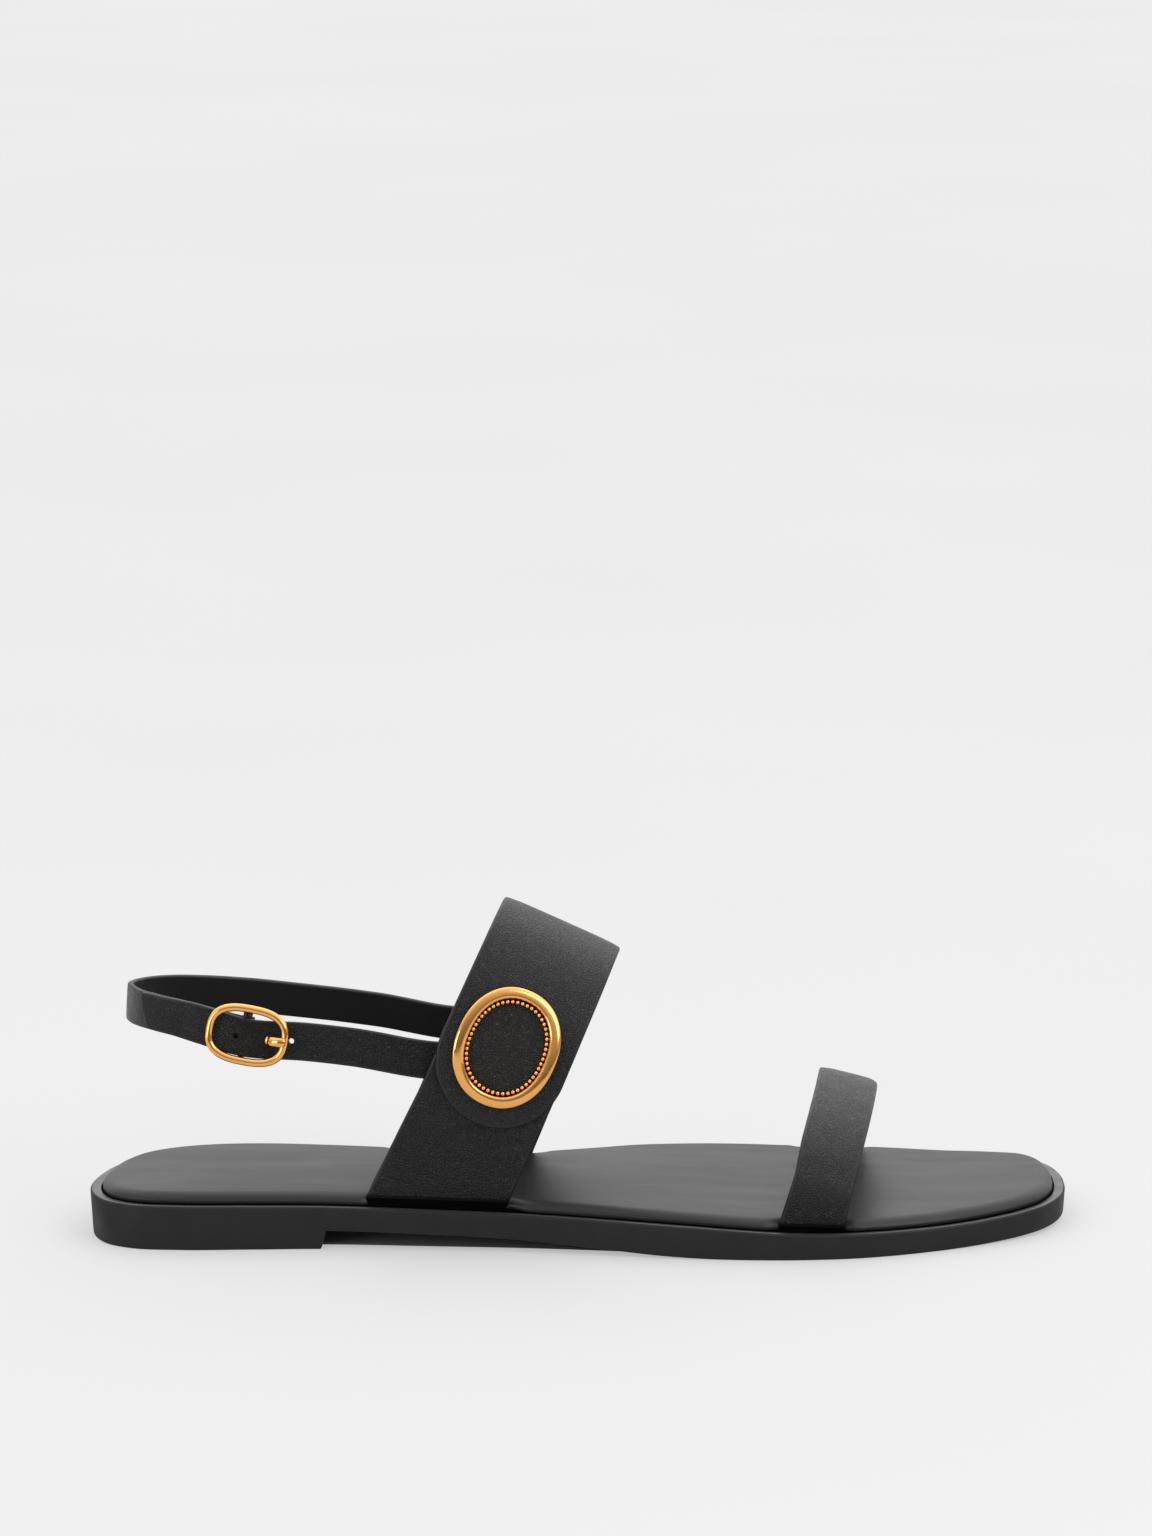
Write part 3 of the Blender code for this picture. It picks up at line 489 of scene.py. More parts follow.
def band(name, place, rows, half_width, faces_at, ease, finishes, nose=0.0, nose_power=2.0,
         slant=0.0, columns=22, trim=None):
    """A strip of leather with rounded, painted edges.

    `place` turns length run, distance across and lift into points. `half_width` and `faces_at`
    are functions of the place on the strip. The last row bulges by `nose` past its run, more on
    one side where it slants.
    """
    share = np.sin(np.linspace(-math.pi / 2, math.pi / 2, columns + 1))
    rows = np.asarray(rows, float)
    bulge = nose * np.clip(1 - np.abs(share) ** nose_power, 0.0, 1.0) ** (1 / nose_power) + slant * share
    stretch = np.clip((rows - (rows[-1] - 3 * nose)) / (3 * nose + 1e-9), 0.0, 1.0)[:, None]
    if nose == 0.0:
        stretch = 0.0 * stretch
    run = rows[:, None] + stretch * bulge[None, :] + 0.0 * share[None, :]
    aside = (half_width(np.minimum(run, rows[-1])) - ease) * share[None, :]
    count, wide = run.shape
    grid = np.arange(count * wide).reshape(count, wide)
    loop = np.concatenate([grid[0], grid[1:, -1], grid[-1, -2::-1], grid[-2:0:-1, 0]])
    flat_run, flat_aside = run.ravel(), aside.ravel()
    edge = np.stack([flat_run[loop], flat_aside[loop]], axis=1)
    travel = unit(np.roll(edge, -1, axis=0) - np.roll(edge, 1, axis=0))
    outward = np.stack([-travel[:, 1], travel[:, 0]], axis=1)

    def points(runs, asides, inner_side, drop):
        inner, outer = faces_at(runs, asides)
        lift = inner + drop if inner_side else outer - drop
        return place(runs, asides, lift)

    angles = np.radians((22.0, 45.0, 68.0, 90.0))
    blocks = [points(flat_run, flat_aside, False, 0.0)]
    for inner_side, turns in ((False, angles), (True, angles[::-1])):
        for angle in turns:
            moved = edge + outward * ease * math.sin(angle)
            moved[:, 0] = np.clip(moved[:, 0], 0.0, None)
            blocks.append(points(moved[:, 0], moved[:, 1], inner_side, ease * (1 - math.cos(angle))))
    blocks.append(points(flat_run, flat_aside, True, 0.0))
    size = len(loop)
    base = count * wide
    last = base + 2 * len(angles) * size
    faces, places = [], []
    for start, skin in ((0, 0), (last, 2)):
        for row in range(count - 1):
            for column in range(wide - 1):
                corner = start + row * wide + column
                faces.append((corner, corner + 1, corner + wide + 1, corner + wide))
                places.append(skin)
    chain = [loop] + [base + row * size + np.arange(size) for row in range(2 * len(angles))]
    chain.append(last + loop)
    for low, high in zip(chain[:-1], chain[1:]):
        for column in range(size):
            after = (column + 1) % size
            faces.append((low[column], low[after], high[after], high[column]))
            places.append(1)
    return make_piece(name, np.vstack(blocks), faces, finishes, places, trim)


# Sole in plan

def outline_branches():
    """Dense lateral and medial edges of the sole, each from heel to toe."""
    points = np.array(OUTLINE) * (LENGTH, BALL_WIDTH)
    wrapped = np.vstack([points[-3:-1], points, points[1:3]])
    knots = runs_along(wrapped)
    first, toe, last = 2, 2 + TOE_ROW, len(points) + 1
    lateral = hermite(knots, wrapped, np.linspace(knots[first], knots[toe], 2400))
    medial = hermite(knots, wrapped, np.linspace(knots[toe], knots[last], 2400))[::-1]
    return lateral, medial


LATERAL, MEDIAL = outline_branches()


def edge_across(branch, along):
    """Where an edge of the sole lies across, at a distance from the back end."""
    return np.interp(along, branch[:, 0], branch[:, 1])


def rim_width(share):
    """Wider rim round the heel and the toe than along the sides."""
    ends = np.clip(np.abs(share - 0.5) * 2, 0, 1) ** 14
    return RIM_SIDE + (RIM_END - RIM_SIDE) * ends


def spring(share):
    return TOE_SPRING * np.clip((np.asarray(share) - 0.87) / 0.13, 0.0, 1.0) ** 1.6


def rim_top(share):
    drop = HEEL_HEIGHT - FOREFOOT_HEIGHT
    return FOREFOOT_HEIGHT + drop * profile(TOP_LINE, share) + spring(share)


def underside(share):
    """Flat heel, a breast with eased corners, the arch and a flat forefoot."""
    share = np.asarray(share)
    front = SHANK_LIFT * np.clip(profile(UNDER_LINE, share), 0.0, None) + spring(share)
    rise = smooth_step((share * LENGTH - BREAST) / BREAST_SLANT)
    return np.where(share * LENGTH < BREAST + BREAST_SLANT, front * rise, front)


def stations():
    """Shares of the length, closer together at both ends and at the breast."""
    even = (1 - np.cos(np.linspace(0, math.pi, 181))) / 2
    breast = (BREAST + BREAST_SLANT * np.linspace(-0.3, 1.3, 13)) / LENGTH
    free = even[(even < breast[0] - 0.003) | (even > breast[-1] + 0.003)]
    return np.sort(np.concatenate([free, breast]))


class Plan:
    """Closed rings that follow the sole's outline at any inset."""

    def __init__(self):
        self.share = stations()
        along = self.share * LENGTH
        inner = slice(1, -1)
        lateral = np.stack([along, edge_across(LATERAL, along)], axis=1)
        medial = np.stack([along, edge_across(MEDIAL, along)], axis=1)
        self.half = len(along) - 1
        self.base = np.vstack([lateral, medial[inner][::-1]])
        self.shares = np.concatenate([self.share, self.share[inner][::-1]])
        self.lateral = np.arange(len(self.base)) <= self.half
        ahead = np.roll(self.base, -1, axis=0) - self.base
        behind = self.base - np.roll(self.base, 1, axis=0)
        turn = unit(unit(ahead) + unit(behind))
        self.inward = np.stack([-turn[:, 1], turn[:, 0]], axis=1)

    def ring(self, inset, height):
        flat = self.base + self.inward * np.reshape(inset, (-1, 1))
        return np.column_stack([flat[:, 0] - HEEL_POINT, flat[:, 1], height + 0.0 * self.shares])

    def skin(self, ring, start, raised):
        """Points and faces that span a ring from side to side, lifted by `raised`."""
        total = 2 * self.half
        points, rows = [], [[start]]
        place = start + total
        for row in range(1, self.half):
            left, right = ring[row], ring[total - row]
            share = np.linspace(0.0, 1.0, SKIN_COLUMNS + 1)[1:-1, None]
            span = left + (right - left) * share
            span[:, 2] += raised(span[:, 0] + HEEL_POINT, share[:, 0])
            points.append(span)
            after = place + SKIN_COLUMNS - 1
            rows.append([start + row] + list(range(place, after)) + [start + total - row])
            place = after
        rows.append([start + self.half])
        faces = []
        for low, high in zip(rows[:-1], rows[1:]):
            if len(low) == 1:
                faces += [(low[0], high[k], high[k + 1]) for k in range(SKIN_COLUMNS)]
            elif len(high) == 1:
                faces += [(low[k], low[k + 1], high[0]) for k in range(SKIN_COLUMNS)]
            else:
                faces += [(low[k], low[k + 1], high[k + 1], high[k]) for k in range(SKIN_COLUMNS)]
        return np.vstack(points), faces


PLAN = Plan()


def lofted_plan(name, rings, skins, finishes, skin_places, ring_places):
    """Rings joined in order, closed by a skin over the first ring and one over the last.

    `ring_places` gives the finish of a gap between two rings, by its place in the order.
    """
    total = len(rings[0])
    faces = loops_to_faces(len(rings), total)
    places = [ring_places.get(row, 0) for row in range(len(rings) - 1) for _ in range(total)]
    verts = list(rings)
    extra = total * len(rings)
    for ring_row, raised, skin_place in zip((0, len(rings) - 1), skins, skin_places):
        start = ring_row * total
        points, skin = PLAN.skin(rings[ring_row], start, raised)
        shift = extra - (start + total)
        for face in skin:
            faces.append(tuple(index + shift if index >= start + total else index for index in face))
        places += [skin_place] * len(skin)
        verts.append(points)
        extra += len(points)
    return make_piece(name, np.vstack(verts), faces, finishes, places)


# Straps over the foot

class Arch:
    """The line of a strap over the foot, with its roots just inside the rim."""

    def __init__(self, rows, back, run, crest, lean, skew, fall, drop, painted_shade, width):
        self.painted_shade = painted_shade
        self.width = width
        self.back, self.front = back, back + run
        middle = 0.5 * (self.back + self.front)
        along = np.linspace(self.back, self.front, 9)
        rim = rim_width(along / LENGTH) + SEAM_GAP + STRAP_WALL / 2
        lateral = edge_across(LATERAL, along) + rim
        ahead = skew * (edge_across(MEDIAL, middle) - edge_across(LATERAL, middle))
        medial = edge_across(MEDIAL, along + ahead) - rim
        self.turn = 0.5 * (lateral[-1] - lateral[0] + medial[-1] - medial[0]) / run
        straight = self.turn * (along - middle)
        low, high = np.max(lateral - straight), np.min(medial - straight)
        centre, half = 0.5 * (low + high), 0.5 * (high - low)
        floor = float(rim_top(middle / LENGTH)) - POCKET_DEPTH + SEAM_GAP
        rows = np.array(rows)
        across = centre + half * rows[:, 0]
        height = floor + (crest - floor) * rows[:, 1]
        across = np.concatenate([[across[0]], across, [across[-1]]])
        height = np.concatenate([[floor - drop], height, [floor - drop]])
        start = middle - lean * floor - skew * low
        along = start + lean * height + skew * across
        self.route = Route(np.column_stack([along - HEEL_POINT, across, height]))
        self.across = unit(np.array([math.cos(fall), self.turn * math.cos(fall), -math.sin(fall)]))
        self.floor = floor
        self.crest_run = float(self.route.run[np.argmax(self.route.line[:, 2])])

    def trim(self):
        """The plane just above the pocket's floor that both roots end on, and the rises of the painted
        shade there.
        """
        heights = rim_top(np.array([self.back, self.front]) / LENGTH) - POCKET_DEPTH + 1.3 * SEAM_GAP
        slope = (heights[1] - heights[0]) / (self.front - self.back)
        normal = unit(np.array([-slope, 0.0, 1.0]))
        painted_shade = POCKET_DEPTH + self.painted_shade
        return (self.back - HEEL_POINT, 0.0, heights[0]), normal, painted_shade, painted_shade + ROOT_SHADE_FADE

    def root_turn(self, run, aside):
        """How far the strap turns in just above the rim."""
        point, normal, _, shade_fading = self.trim()
        over = (self.route.at(run) + self.across * np.asarray(aside)[..., None] - np.array(point)) @ normal
        return ROOT_TURN * np.clip((1.4 * shade_fading - over) / (1.4 * shade_fading - POCKET_DEPTH), 0.0, 1.0) ** 2

    def lateral_run(self, height):
        return self.route.run_where(2, height, self.crest_run, self.route.length)

    def medial_run(self, height):
        return self.route.run_where(2, height, 0.0, self.crest_run)

    def place(self, run, aside, lift):
        """A point on the strap: length run, distance across and height over its middle."""
        outward = unit(np.cross(self.route.heading(run), self.across))
        raised = outward * np.reshape(lift, aside.shape + (1,))
        return self.route.at(run) + self.across * aside[..., None] + raised

    def edged(self, moves):
        """The same place on the strap, once its edges are moved by a table."""
        drops, back, front = np.array(moves).T
        crest = float(self.route.at(self.crest_run)[2])

        def place(run, aside, lift):
            drop = np.copysign(crest - self.route.at(run)[..., 2], run - self.crest_run)
            share = 0.5 + np.clip(aside / self.width, -0.5, 0.5)
            move = (1 - share) * np.interp(drop, drops, back) + share * np.interp(drop, drops, front)
            return self.place(run, aside + move, lift)

        return place


INSTEP = Arch(INSTEP_ARCH, INSTEP_BACK, INSTEP_RUN, INSTEP_CREST, INSTEP_LEAN, INSTEP_SKEW,
              INSTEP_FALL, INSTEP_DROP, INSTEP_PAINTED_SHADE, INSTEP_WIDTH_LOW)
TOES = Arch(TOE_ARCH, TOE_BACK, TOE_RUN, TOE_CREST, TOE_LEAN, TOE_SKEW, TOE_FALL, TOE_DROP, TOE_PAINTED_SHADE,
            TOE_WIDTH)


def instep_width(run):
    height = INSTEP.route.at(run)[..., 2]
    share = np.clip((height - INSTEP.floor) / (INSTEP_CREST - INSTEP.floor), 0.0, 1.0)
    return INSTEP_WIDTH_LOW + (INSTEP_WIDTH_HIGH - INSTEP_WIDTH_LOW) * share


def rounded_back(aside, half, droop):
    """How far a strap's face falls away towards its two edges."""
    return droop * np.clip(np.abs(aside) / half, 0.0, 1.0) ** 4


def crest_curl(arch, run, aside, half, depth, reach):
    """How far a strap's edges curl down where it turns over its crest, most on the medial side."""
    near = np.exp(-((run - arch.crest_run + CURL_SHIFT * reach) / reach) ** 2)
    return depth * near * np.clip(np.abs(aside) / half, 0.0, 1.0) ** CURL_POWER


def make_instep_strap(finishes):
    """From the medial root over the crest to the flap's round end, lifted over the tab."""
    centre = INSTEP.lateral_run(FLAP_CENTRE)
    half = float(instep_width(centre)) / 2
    tab = INSTEP.lateral_run(TAB_TOP)

    def faces_at(run, aside):
        rise = smooth_step((run - INSTEP.crest_run) / (tab - INSTEP.crest_run))
        lift = LAP * rise - crest_curl(INSTEP, run, aside, half, INSTEP_CURL, INSTEP_CURL_REACH)
        lift = lift - np.where(run < INSTEP.crest_run, INSTEP.root_turn(run, aside), 0.0)
        droop = rounded_back(aside, half, STRAP_DROOP)
        return lift - STRAP_WALL / 2 + 0.0 * aside, lift + STRAP_WALL / 2 - droop

    rows = np.linspace(ROOT_END, centre, 150)
    return band("instep_strap", INSTEP.edged(INSTEP_EDGES), rows, lambda run: instep_width(run) / 2,
                faces_at, STRAP_EASE, finishes, nose=half - STRAP_EASE, columns=30, trim=INSTEP.trim())


def make_tab(finishes):
    top = INSTEP.lateral_run(TAB_TOP)

    def faces_at(run, aside):
        droop = rounded_back(aside, INSTEP_WIDTH_LOW / 2, TAB_DROOP)
        turn = INSTEP.root_turn(run, aside)
        return -STRAP_WALL / 2 - turn + 0.0 * aside, STRAP_WALL / 2 - droop - turn

    rows = np.linspace(top, INSTEP.route.length - ROOT_END, 110)
    return band("instep_tab", INSTEP.edged(TAB_EDGES), rows, lambda run: instep_width(run) / 2 - TAB_EASE,
                faces_at, STRAP_EASE, finishes, columns=26, trim=INSTEP.trim())


def make_toe_strap(finishes):
    def faces_at(run, aside):
        kept = np.clip(aside, -0.4 * TOE_WIDTH, None)
        curl = crest_curl(TOES, run, kept, TOE_WIDTH / 2, TOE_CURL, TOE_CURL_REACH)
        curl = curl + TOES.root_turn(run, aside)
        droop = rounded_back(aside, TOE_WIDTH / 2, STRAP_DROOP)
        return -STRAP_WALL / 2 - curl, STRAP_WALL / 2 - droop - curl

    rows = np.linspace(ROOT_END, TOES.route.length - ROOT_END, 150)
    return band("toe_strap_cover", TOES.edged(TOE_EDGES), rows, lambda run: TOE_WIDTH / 2 + 0.0 * run,
                faces_at, STRAP_EASE, finishes, columns=20, trim=TOES.trim())


# Sole and footbed

def root_press():
    """How far the footbed's edge draws back from the rim round the four strap roots."""
    press = np.zeros(len(PLAN.shares))
    along = PLAN.shares * LENGTH
    for arch in (INSTEP, TOES):
        height = arch.floor + PRESS_HEIGHT
        half = arch.width / 2 * PRESS_SHARE
        roots = ((PLAN.lateral, arch.lateral_run(height)), (~PLAN.lateral, arch.medial_run(height)))
        for side, run in roots:
            middle = arch.route.at(run)[0] + HEEL_POINT
            near = smooth_step((half + PRESS_EASE - np.abs(along - middle)) / PRESS_EASE)
            press = np.maximum(press, np.where(side, near, 0.0))
    return press * (STRAP_WALL + SEAM_GAP)


def make_sole(finishes):
    rim = rim_width(PLAN.shares)
    top = rim_top(PLAN.shares)
    under = underside(PLAN.shares)
    taper = BASE_TAPER * (top - under) / HEEL_HEIGHT
    rings = []
    for angle in QUARTER_TURN:
        out, up = EDGE_ROUND * (1 - math.sin(angle)), EDGE_ROUND * (1 - math.cos(angle))
        rings.append(PLAN.ring(taper + out, under + up))
    for share in (0.35, 0.7):
        low, high = under + EDGE_ROUND, top - EDGE_ROUND
        rings.append(PLAN.ring(taper * (1 - share), low + (high - low) * share))
    for angle in QUARTER_TURN:
        out, up = EDGE_ROUND * (1 - math.cos(angle)), EDGE_ROUND * math.sin(angle)
        rings.append(PLAN.ring(out, top - EDGE_ROUND + up))
    ease = 0.3 * EDGE_ROUND
    rings += [PLAN.ring(rim - ease, top), PLAN.ring(rim - 0.3 * ease, top - 0.3 * ease),
              PLAN.ring(rim, top - ease), PLAN.ring(rim, top - POCKET_DEPTH)]
    # The rim's top and its rounded outer edge take the rim finish, whose lighter colour is painted sheen
    return lofted_plan("sole", rings, (level, level), finishes, (1, 0), {10: 2, 11: 2, 12: 2, 13: 2})


def level(along, share):
    """No dome: the skin keeps its ring's height."""
    return 0.0 * along


def footbed_dome(along, share):
    """A low dome across the footbed, with the soft seats of the heel and the ball."""
    across = 1 - (2 * share - 1) ** 2
    ends = smooth_step(along / DOME_END) * smooth_step((LENGTH - along) / DOME_END)
    kept = 1.0
    for place, spread, taken in SEATS:
        kept = kept - taken * np.exp(-((along - place) / spread) ** 2)
    return FOOTBED_DOME * across ** DOME_POWER * ends * kept


def make_footbed(finishes):
    press = root_press()
    toe_end = smooth_step((WIDE_SEAM_TOE - PLAN.shares) / WIDE_SEAM_FADE)
    sides = smooth_step(PLAN.shares / WIDE_SEAM_HEEL) * toe_end
    gap = SEAM_GAP + (FOOTBED_GAP - SEAM_GAP) * sides
    rim = rim_width(PLAN.shares) + gap + press
    top = rim_top(PLAN.shares)
    floor = top - POCKET_DEPTH + SEAM_GAP
    seam = top + SEAM_STEP
    ease = 2 * SEAM_GAP
    rings = [PLAN.ring(rim + ease, floor), PLAN.ring(rim, floor + ease), PLAN.ring(rim, seam)]
    shoulder = SHOULDER - 0.5 * press
    for angle in np.radians((12.0, 24.0, 36.0, 48.0, 60.0, 70.0, 80.0, 90.0)):
        out, up = shoulder * (1 - math.cos(angle)), CROWN * math.sin(angle)
        rings.append(PLAN.ring(rim + out, seam + up))
    # The footbed's side below the seam takes the darkest painted shade, and its first strip of shoulder a
    # lighter painted shade
    return lofted_plan("footbed", rings, (level, footbed_dome), finishes, (0, 0), {0: 2, 1: 2, 2: 1})


# Sling and buckle

class Sling:
    """The sling's line from the medial wall round the heel to the tab, with its bar."""

    def __init__(self):
        sink = STRAP_WALL / 2 + HEEL_STRAP_WALL / 2 - SEAM_GAP
        medial = self.tuck(INSTEP.medial_run(SLING_JOIN_MEDIAL), sink)
        lateral = self.tuck(INSTEP.lateral_run(SLING_JOIN_LATERAL), sink)
        rows = np.array(SLING) * (LENGTH, HEEL_WIDTH, SLING_HEIGHT)
        rows[:, 0] -= HEEL_POINT
        self.route = Route(np.vstack([medial, rows, lateral[::-1]]))
        self.back = float(self.route.run[np.argmin(self.route.line[:, 0])])
        self.bar = self.route.run_where(0, BAR_PLACE - HEEL_POINT, self.back, self.route.length)
        self.tail = self.route.run_where(0, TAIL_END - HEEL_POINT, self.back, self.bar)

    @staticmethod
    def tuck(run, sink):
        """Two points behind the strap's wall: deep under it, and at its back edge."""
        width = float(instep_width(run))
        asides = np.array([SLING_TUCK - width / 2, -width / 2])
        lifts = np.array([-sink, -sink])
        flat = INSTEP.place(np.array([run, run]), asides, lifts)
        return flat * (1, 1, 0) + INSTEP.route.at(run) * (0, 0, 1)

    def frame(self, run):
        """Heading, the way up the strap and the way out of it."""
        heading = self.route.heading(run)
        flat = unit(np.cross(heading, UP))
        rise = np.cross(flat, heading)
        near = np.clip(1 - np.abs(np.asarray(run) - self.back) / SLING_TURN, 0.0, 1.0)[..., None]
        lean = SLING_LEAN_SIDE + (SLING_LEAN_BACK - SLING_LEAN_SIDE) * near
        up = np.cos(lean) * rise - np.sin(lean) * flat
        return heading, up, np.cross(heading, up)

    def lift(self, runs):
        span = HEEL_STRAP_WALL / 2 + SEAM_GAP + FREE_STRAP_WALL / 2
        return span * profile(FREE_LIFT, (np.asarray(runs) - self.bar) / RING_LENGTH)

    def wave(self, runs):
        """Soft dents that buckling has left in the strap near the tail's end."""
        out = 0.0 * np.asarray(runs)
        for place, spread, depth in SLING_WAVES:
            out = out + depth * np.exp(-((runs - self.tail - place) / spread) ** 2)
        return out

    def place(self, run, aside, lift):
        _, up, outward = self.frame(run)
        return self.route.at(run) + up * aside[..., None] + outward * np.reshape(lift, aside.shape + (1,))

    def point(self, along, up, out):
        """A place by the buckle: along the strap from the bar, up it and out of it."""
        heading, rise, outward = self.frame(self.bar)
        return self.route.at(self.bar) + heading * along + rise * up + outward * out


SLING_LINE = Sling()


def make_heel_strap(finishes):
    """From the medial wall round the heel to the eye that holds the buckle's bar."""
    eye = BAR_WIRE / 2 + BAR_GAP + EYE_WALL
    half = HEEL_STRAP_WALL / 2

    def faces_at(run, aside):
        wave = SLING_LINE.wave(run) * np.clip(aside / SLING_WIDTH + 0.6, 0.0, 1.0)
        return wave - half, wave + half - rounded_back(aside, SLING_WIDTH / 2, SLING_DROOP)

    rows = np.linspace(SLING_END, SLING_LINE.bar - 0.6 * eye, 300)
    piece = band("heel_strap", SLING_LINE.place, rows, lambda run: SLING_WIDTH / 2 + 0.0 * run,
                 faces_at, SLING_EASE, finishes, columns=12)
    top = SLING_WIDTH / 2
    bore = BAR_WIRE / 2 + BAR_GAP

    def upright(name, low, high, radius, finish):
        return rod(name, SLING_LINE.point(0, low, 0), SLING_LINE.point(0, high, 0), radius, finish)

    carve(piece, upright("eye", -top, top, eye, finishes[0]), "UNION")
    carve(piece, upright("eye_end", 0, top + EYE_RISE, bore + BAR_GAP, finishes[0]), "UNION")
    carve(piece, upright("bore", -2 * top, 2 * top, bore, finishes[1]), "DIFFERENCE")
    slot = PRONG_ROOT / 2 + BAR_GAP
    points = np.array([SLING_LINE.point(0, 0, 0), SLING_LINE.point(3 * eye, 0, 0)])
    _, up, _ = SLING_LINE.frame(SLING_LINE.bar)
    carve(piece, tube("slot", points, up, slot * 1.3, 2 * eye, finishes[1]), "DIFFERENCE")
    return piece


def free_drop(runs):
    """How far the free strap sags at the buckle, and its tail rides up beyond it."""
    sag = FREE_DROP * np.exp(-((np.asarray(runs) - SLING_LINE.bar - SAG_PLACE) / SAG_SPREAD) ** 2)
    return sag - TAIL_RISE * smooth_step((SLING_LINE.bar - SAG_PLACE - np.asarray(runs)) / TAIL_RIDE)


def make_free_strap(finishes):
    """From behind the tab through the buckle to the tail that lies on the heel strap."""
    half = FREE_STRAP_WALL / 2
    last = SLING_LINE.route.length

    def place(run, aside, lift):
        return SLING_LINE.place(last - run, aside - free_drop(last - run), lift)

    def faces_at(run, aside):
        centre = SLING_LINE.lift(last - run) + 0.7 * SLING_LINE.wave(last - run)
        return centre - half, centre + half - rounded_back(aside, FREE_WIDTH / 2, SLING_DROOP)

    def half_width(run):
        tail = smooth_step((run - last + SLING_LINE.bar - NARROW_PLACE) / NARROW_REACH)
        return FREE_WIDTH / 2 - TAIL_NARROW * tail

    rows = np.linspace(SLING_END, last - SLING_LINE.tail, 260)
    piece = band("free_strap", place, rows, half_width, faces_at, SLING_EASE, finishes,
                 nose=TAIL_NOSE, nose_power=2.6, slant=TAIL_SLANT, columns=12)
    for away in HOLE_PLACES:
        run = SLING_LINE.bar + away
        _, up, out = SLING_LINE.frame(run)
        centre = SLING_LINE.route.at(run) - up * free_drop(run)
        reach = float(SLING_LINE.lift(run))
        low, high = (centre + out * (reach + side * 3 * half) for side in (-1, 1))
        carve(piece, rod("hole", low, high, HOLE_WIDTH / 2, finishes[1]), "DIFFERENCE")
    return piece


def ring_out():
    """How far the ring's middle plane lies outside the heel strap's middle."""
    reach = np.linspace(RING_LENGTH / 2 - 1.8 * RING_WIRE, RING_LENGTH / 2, 5)
    centre = SLING_LINE.bar + RING_SHIFT
    crossing = np.max(SLING_LINE.lift(np.concatenate([centre - reach, centre + reach])))
    return crossing + FREE_STRAP_WALL / 2 + SEAM_GAP + RING_WIRE / 2


def make_buckle(finish):
    wire = RING_WIRE / 2
    plane = ring_out()
    along, up = oval(RING_LENGTH / 2 - wire, RING_HEIGHT / 2 - wire, 160, 2.7)
    points = np.array([SLING_LINE.point(a + RING_SHIFT, u + RING_RISE, plane) for a, u in zip(along, up)])
    _, _, outward = SLING_LINE.frame(SLING_LINE.bar)
    ring = tube("buckle_ring", points, outward, 0.94 * wire, wire, finish, closed=True, sides=24, power=2.0)
    knee = SLING_WIDTH / 2 + SEAM_GAP + BAR_WIRE / 2
    halves = []
    for side in (1, -1):
        reach = RING_HEIGHT / 2 - wire + side * RING_RISE
        rows = ((reach, plane), (0.5 * (reach + knee), 0.5 * plane), (knee, 0.0), (0.6 * knee, 0.0))
        halves.append([SLING_LINE.point(0.0, side * u, out) for u, out in rows])
    path = Route(halves[0] + halves[1][::-1], 12)
    heading, _, _ = SLING_LINE.frame(SLING_LINE.bar)
    bar = tube("buckle_bar", path.line[::2], heading, BAR_WIRE / 2, BAR_WIRE / 2, finish)
    carve(ring, bar, "UNION")
    return ring


def make_prong(finish):
    """A root from beside the bar up through the strap's hole, and a head from there to the ring."""
    rest = ring_out() + RING_WIRE / 2 + BAR_GAP + PRONG_DEPTH / 2
    strap_top = float(SLING_LINE.lift(SLING_LINE.bar + PRONG_PLACE)) + FREE_STRAP_WALL / 2
    root, wide, deep = PRONG_ROOT / 2, PRONG_WIDTH / 2, PRONG_DEPTH / 2
    low = strap_top + 0.55 * PRONG_DEPTH
    end = RING_SHIFT + RING_LENGTH / 2 - 0.2 * RING_WIRE
    back = PRONG_PLACE - 0.45 * HOLE_WIDTH
    rows = np.array((
        (back, low, 0.35 * wide, 0.40 * deep),
        (back + 0.0002, low, 0.66 * wide, 0.72 * deep),
        (back + 0.0005, low, 0.88 * wide, 0.92 * deep),
        (back + 0.0010, low, wide, deep),
        (back + 0.0017, 0.4 * low + 0.6 * rest, wide, deep),
        (0.62 * end + 0.38 * back, rest, 0.96 * wide, deep),
        (end - 0.0009, rest, 0.96 * wide, deep),
        (end - 0.0004, rest, 0.86 * wide, 0.90 * deep),
        (end - 0.0001, rest, 0.62 * wide, 0.66 * deep),
        (end, rest, 0.35 * wide, 0.35 * deep),
    ))
    _, up, _ = SLING_LINE.frame(SLING_LINE.bar)
    head = prong_tube("buckle_tongue", rows, up, finish)
    start = BAR_WIRE / 2 + BAR_GAP
    rows = np.array((
        (start, 0.0, root, root),
        (0.60 * PRONG_PLACE, 0.02 * rest, root, root),
        (0.90 * PRONG_PLACE, 0.25 * rest, root, root),
        (PRONG_PLACE, 0.5 * strap_top, root, root),
        (PRONG_PLACE, low, root, root),
    ))
    carve(head, prong_tube("prong_root", rows, up, finish), "UNION")
    return head


def prong_tube(name, rows, up, finish):
    """A rod by rows of distance along, distance out and two half sizes."""
    knots = runs_along(rows[:, :2])
    fine = hermite(knots, rows, np.linspace(0.0, knots[-1], 60))
    share = fine[:, 0] / (RING_LENGTH / 2)
    rise = PRONG_RISE * np.clip(share, 0.0, 1.1) - 0.6 * PRONG_RISE
    points = np.array([SLING_LINE.point(a, u, o) for a, u, o in zip(fine[:, 0], rise, fine[:, 1])])
    return tube(name, points, up, fine[:, 2], fine[:, 3], finish, sides=24, power=2.5)


# Ornament

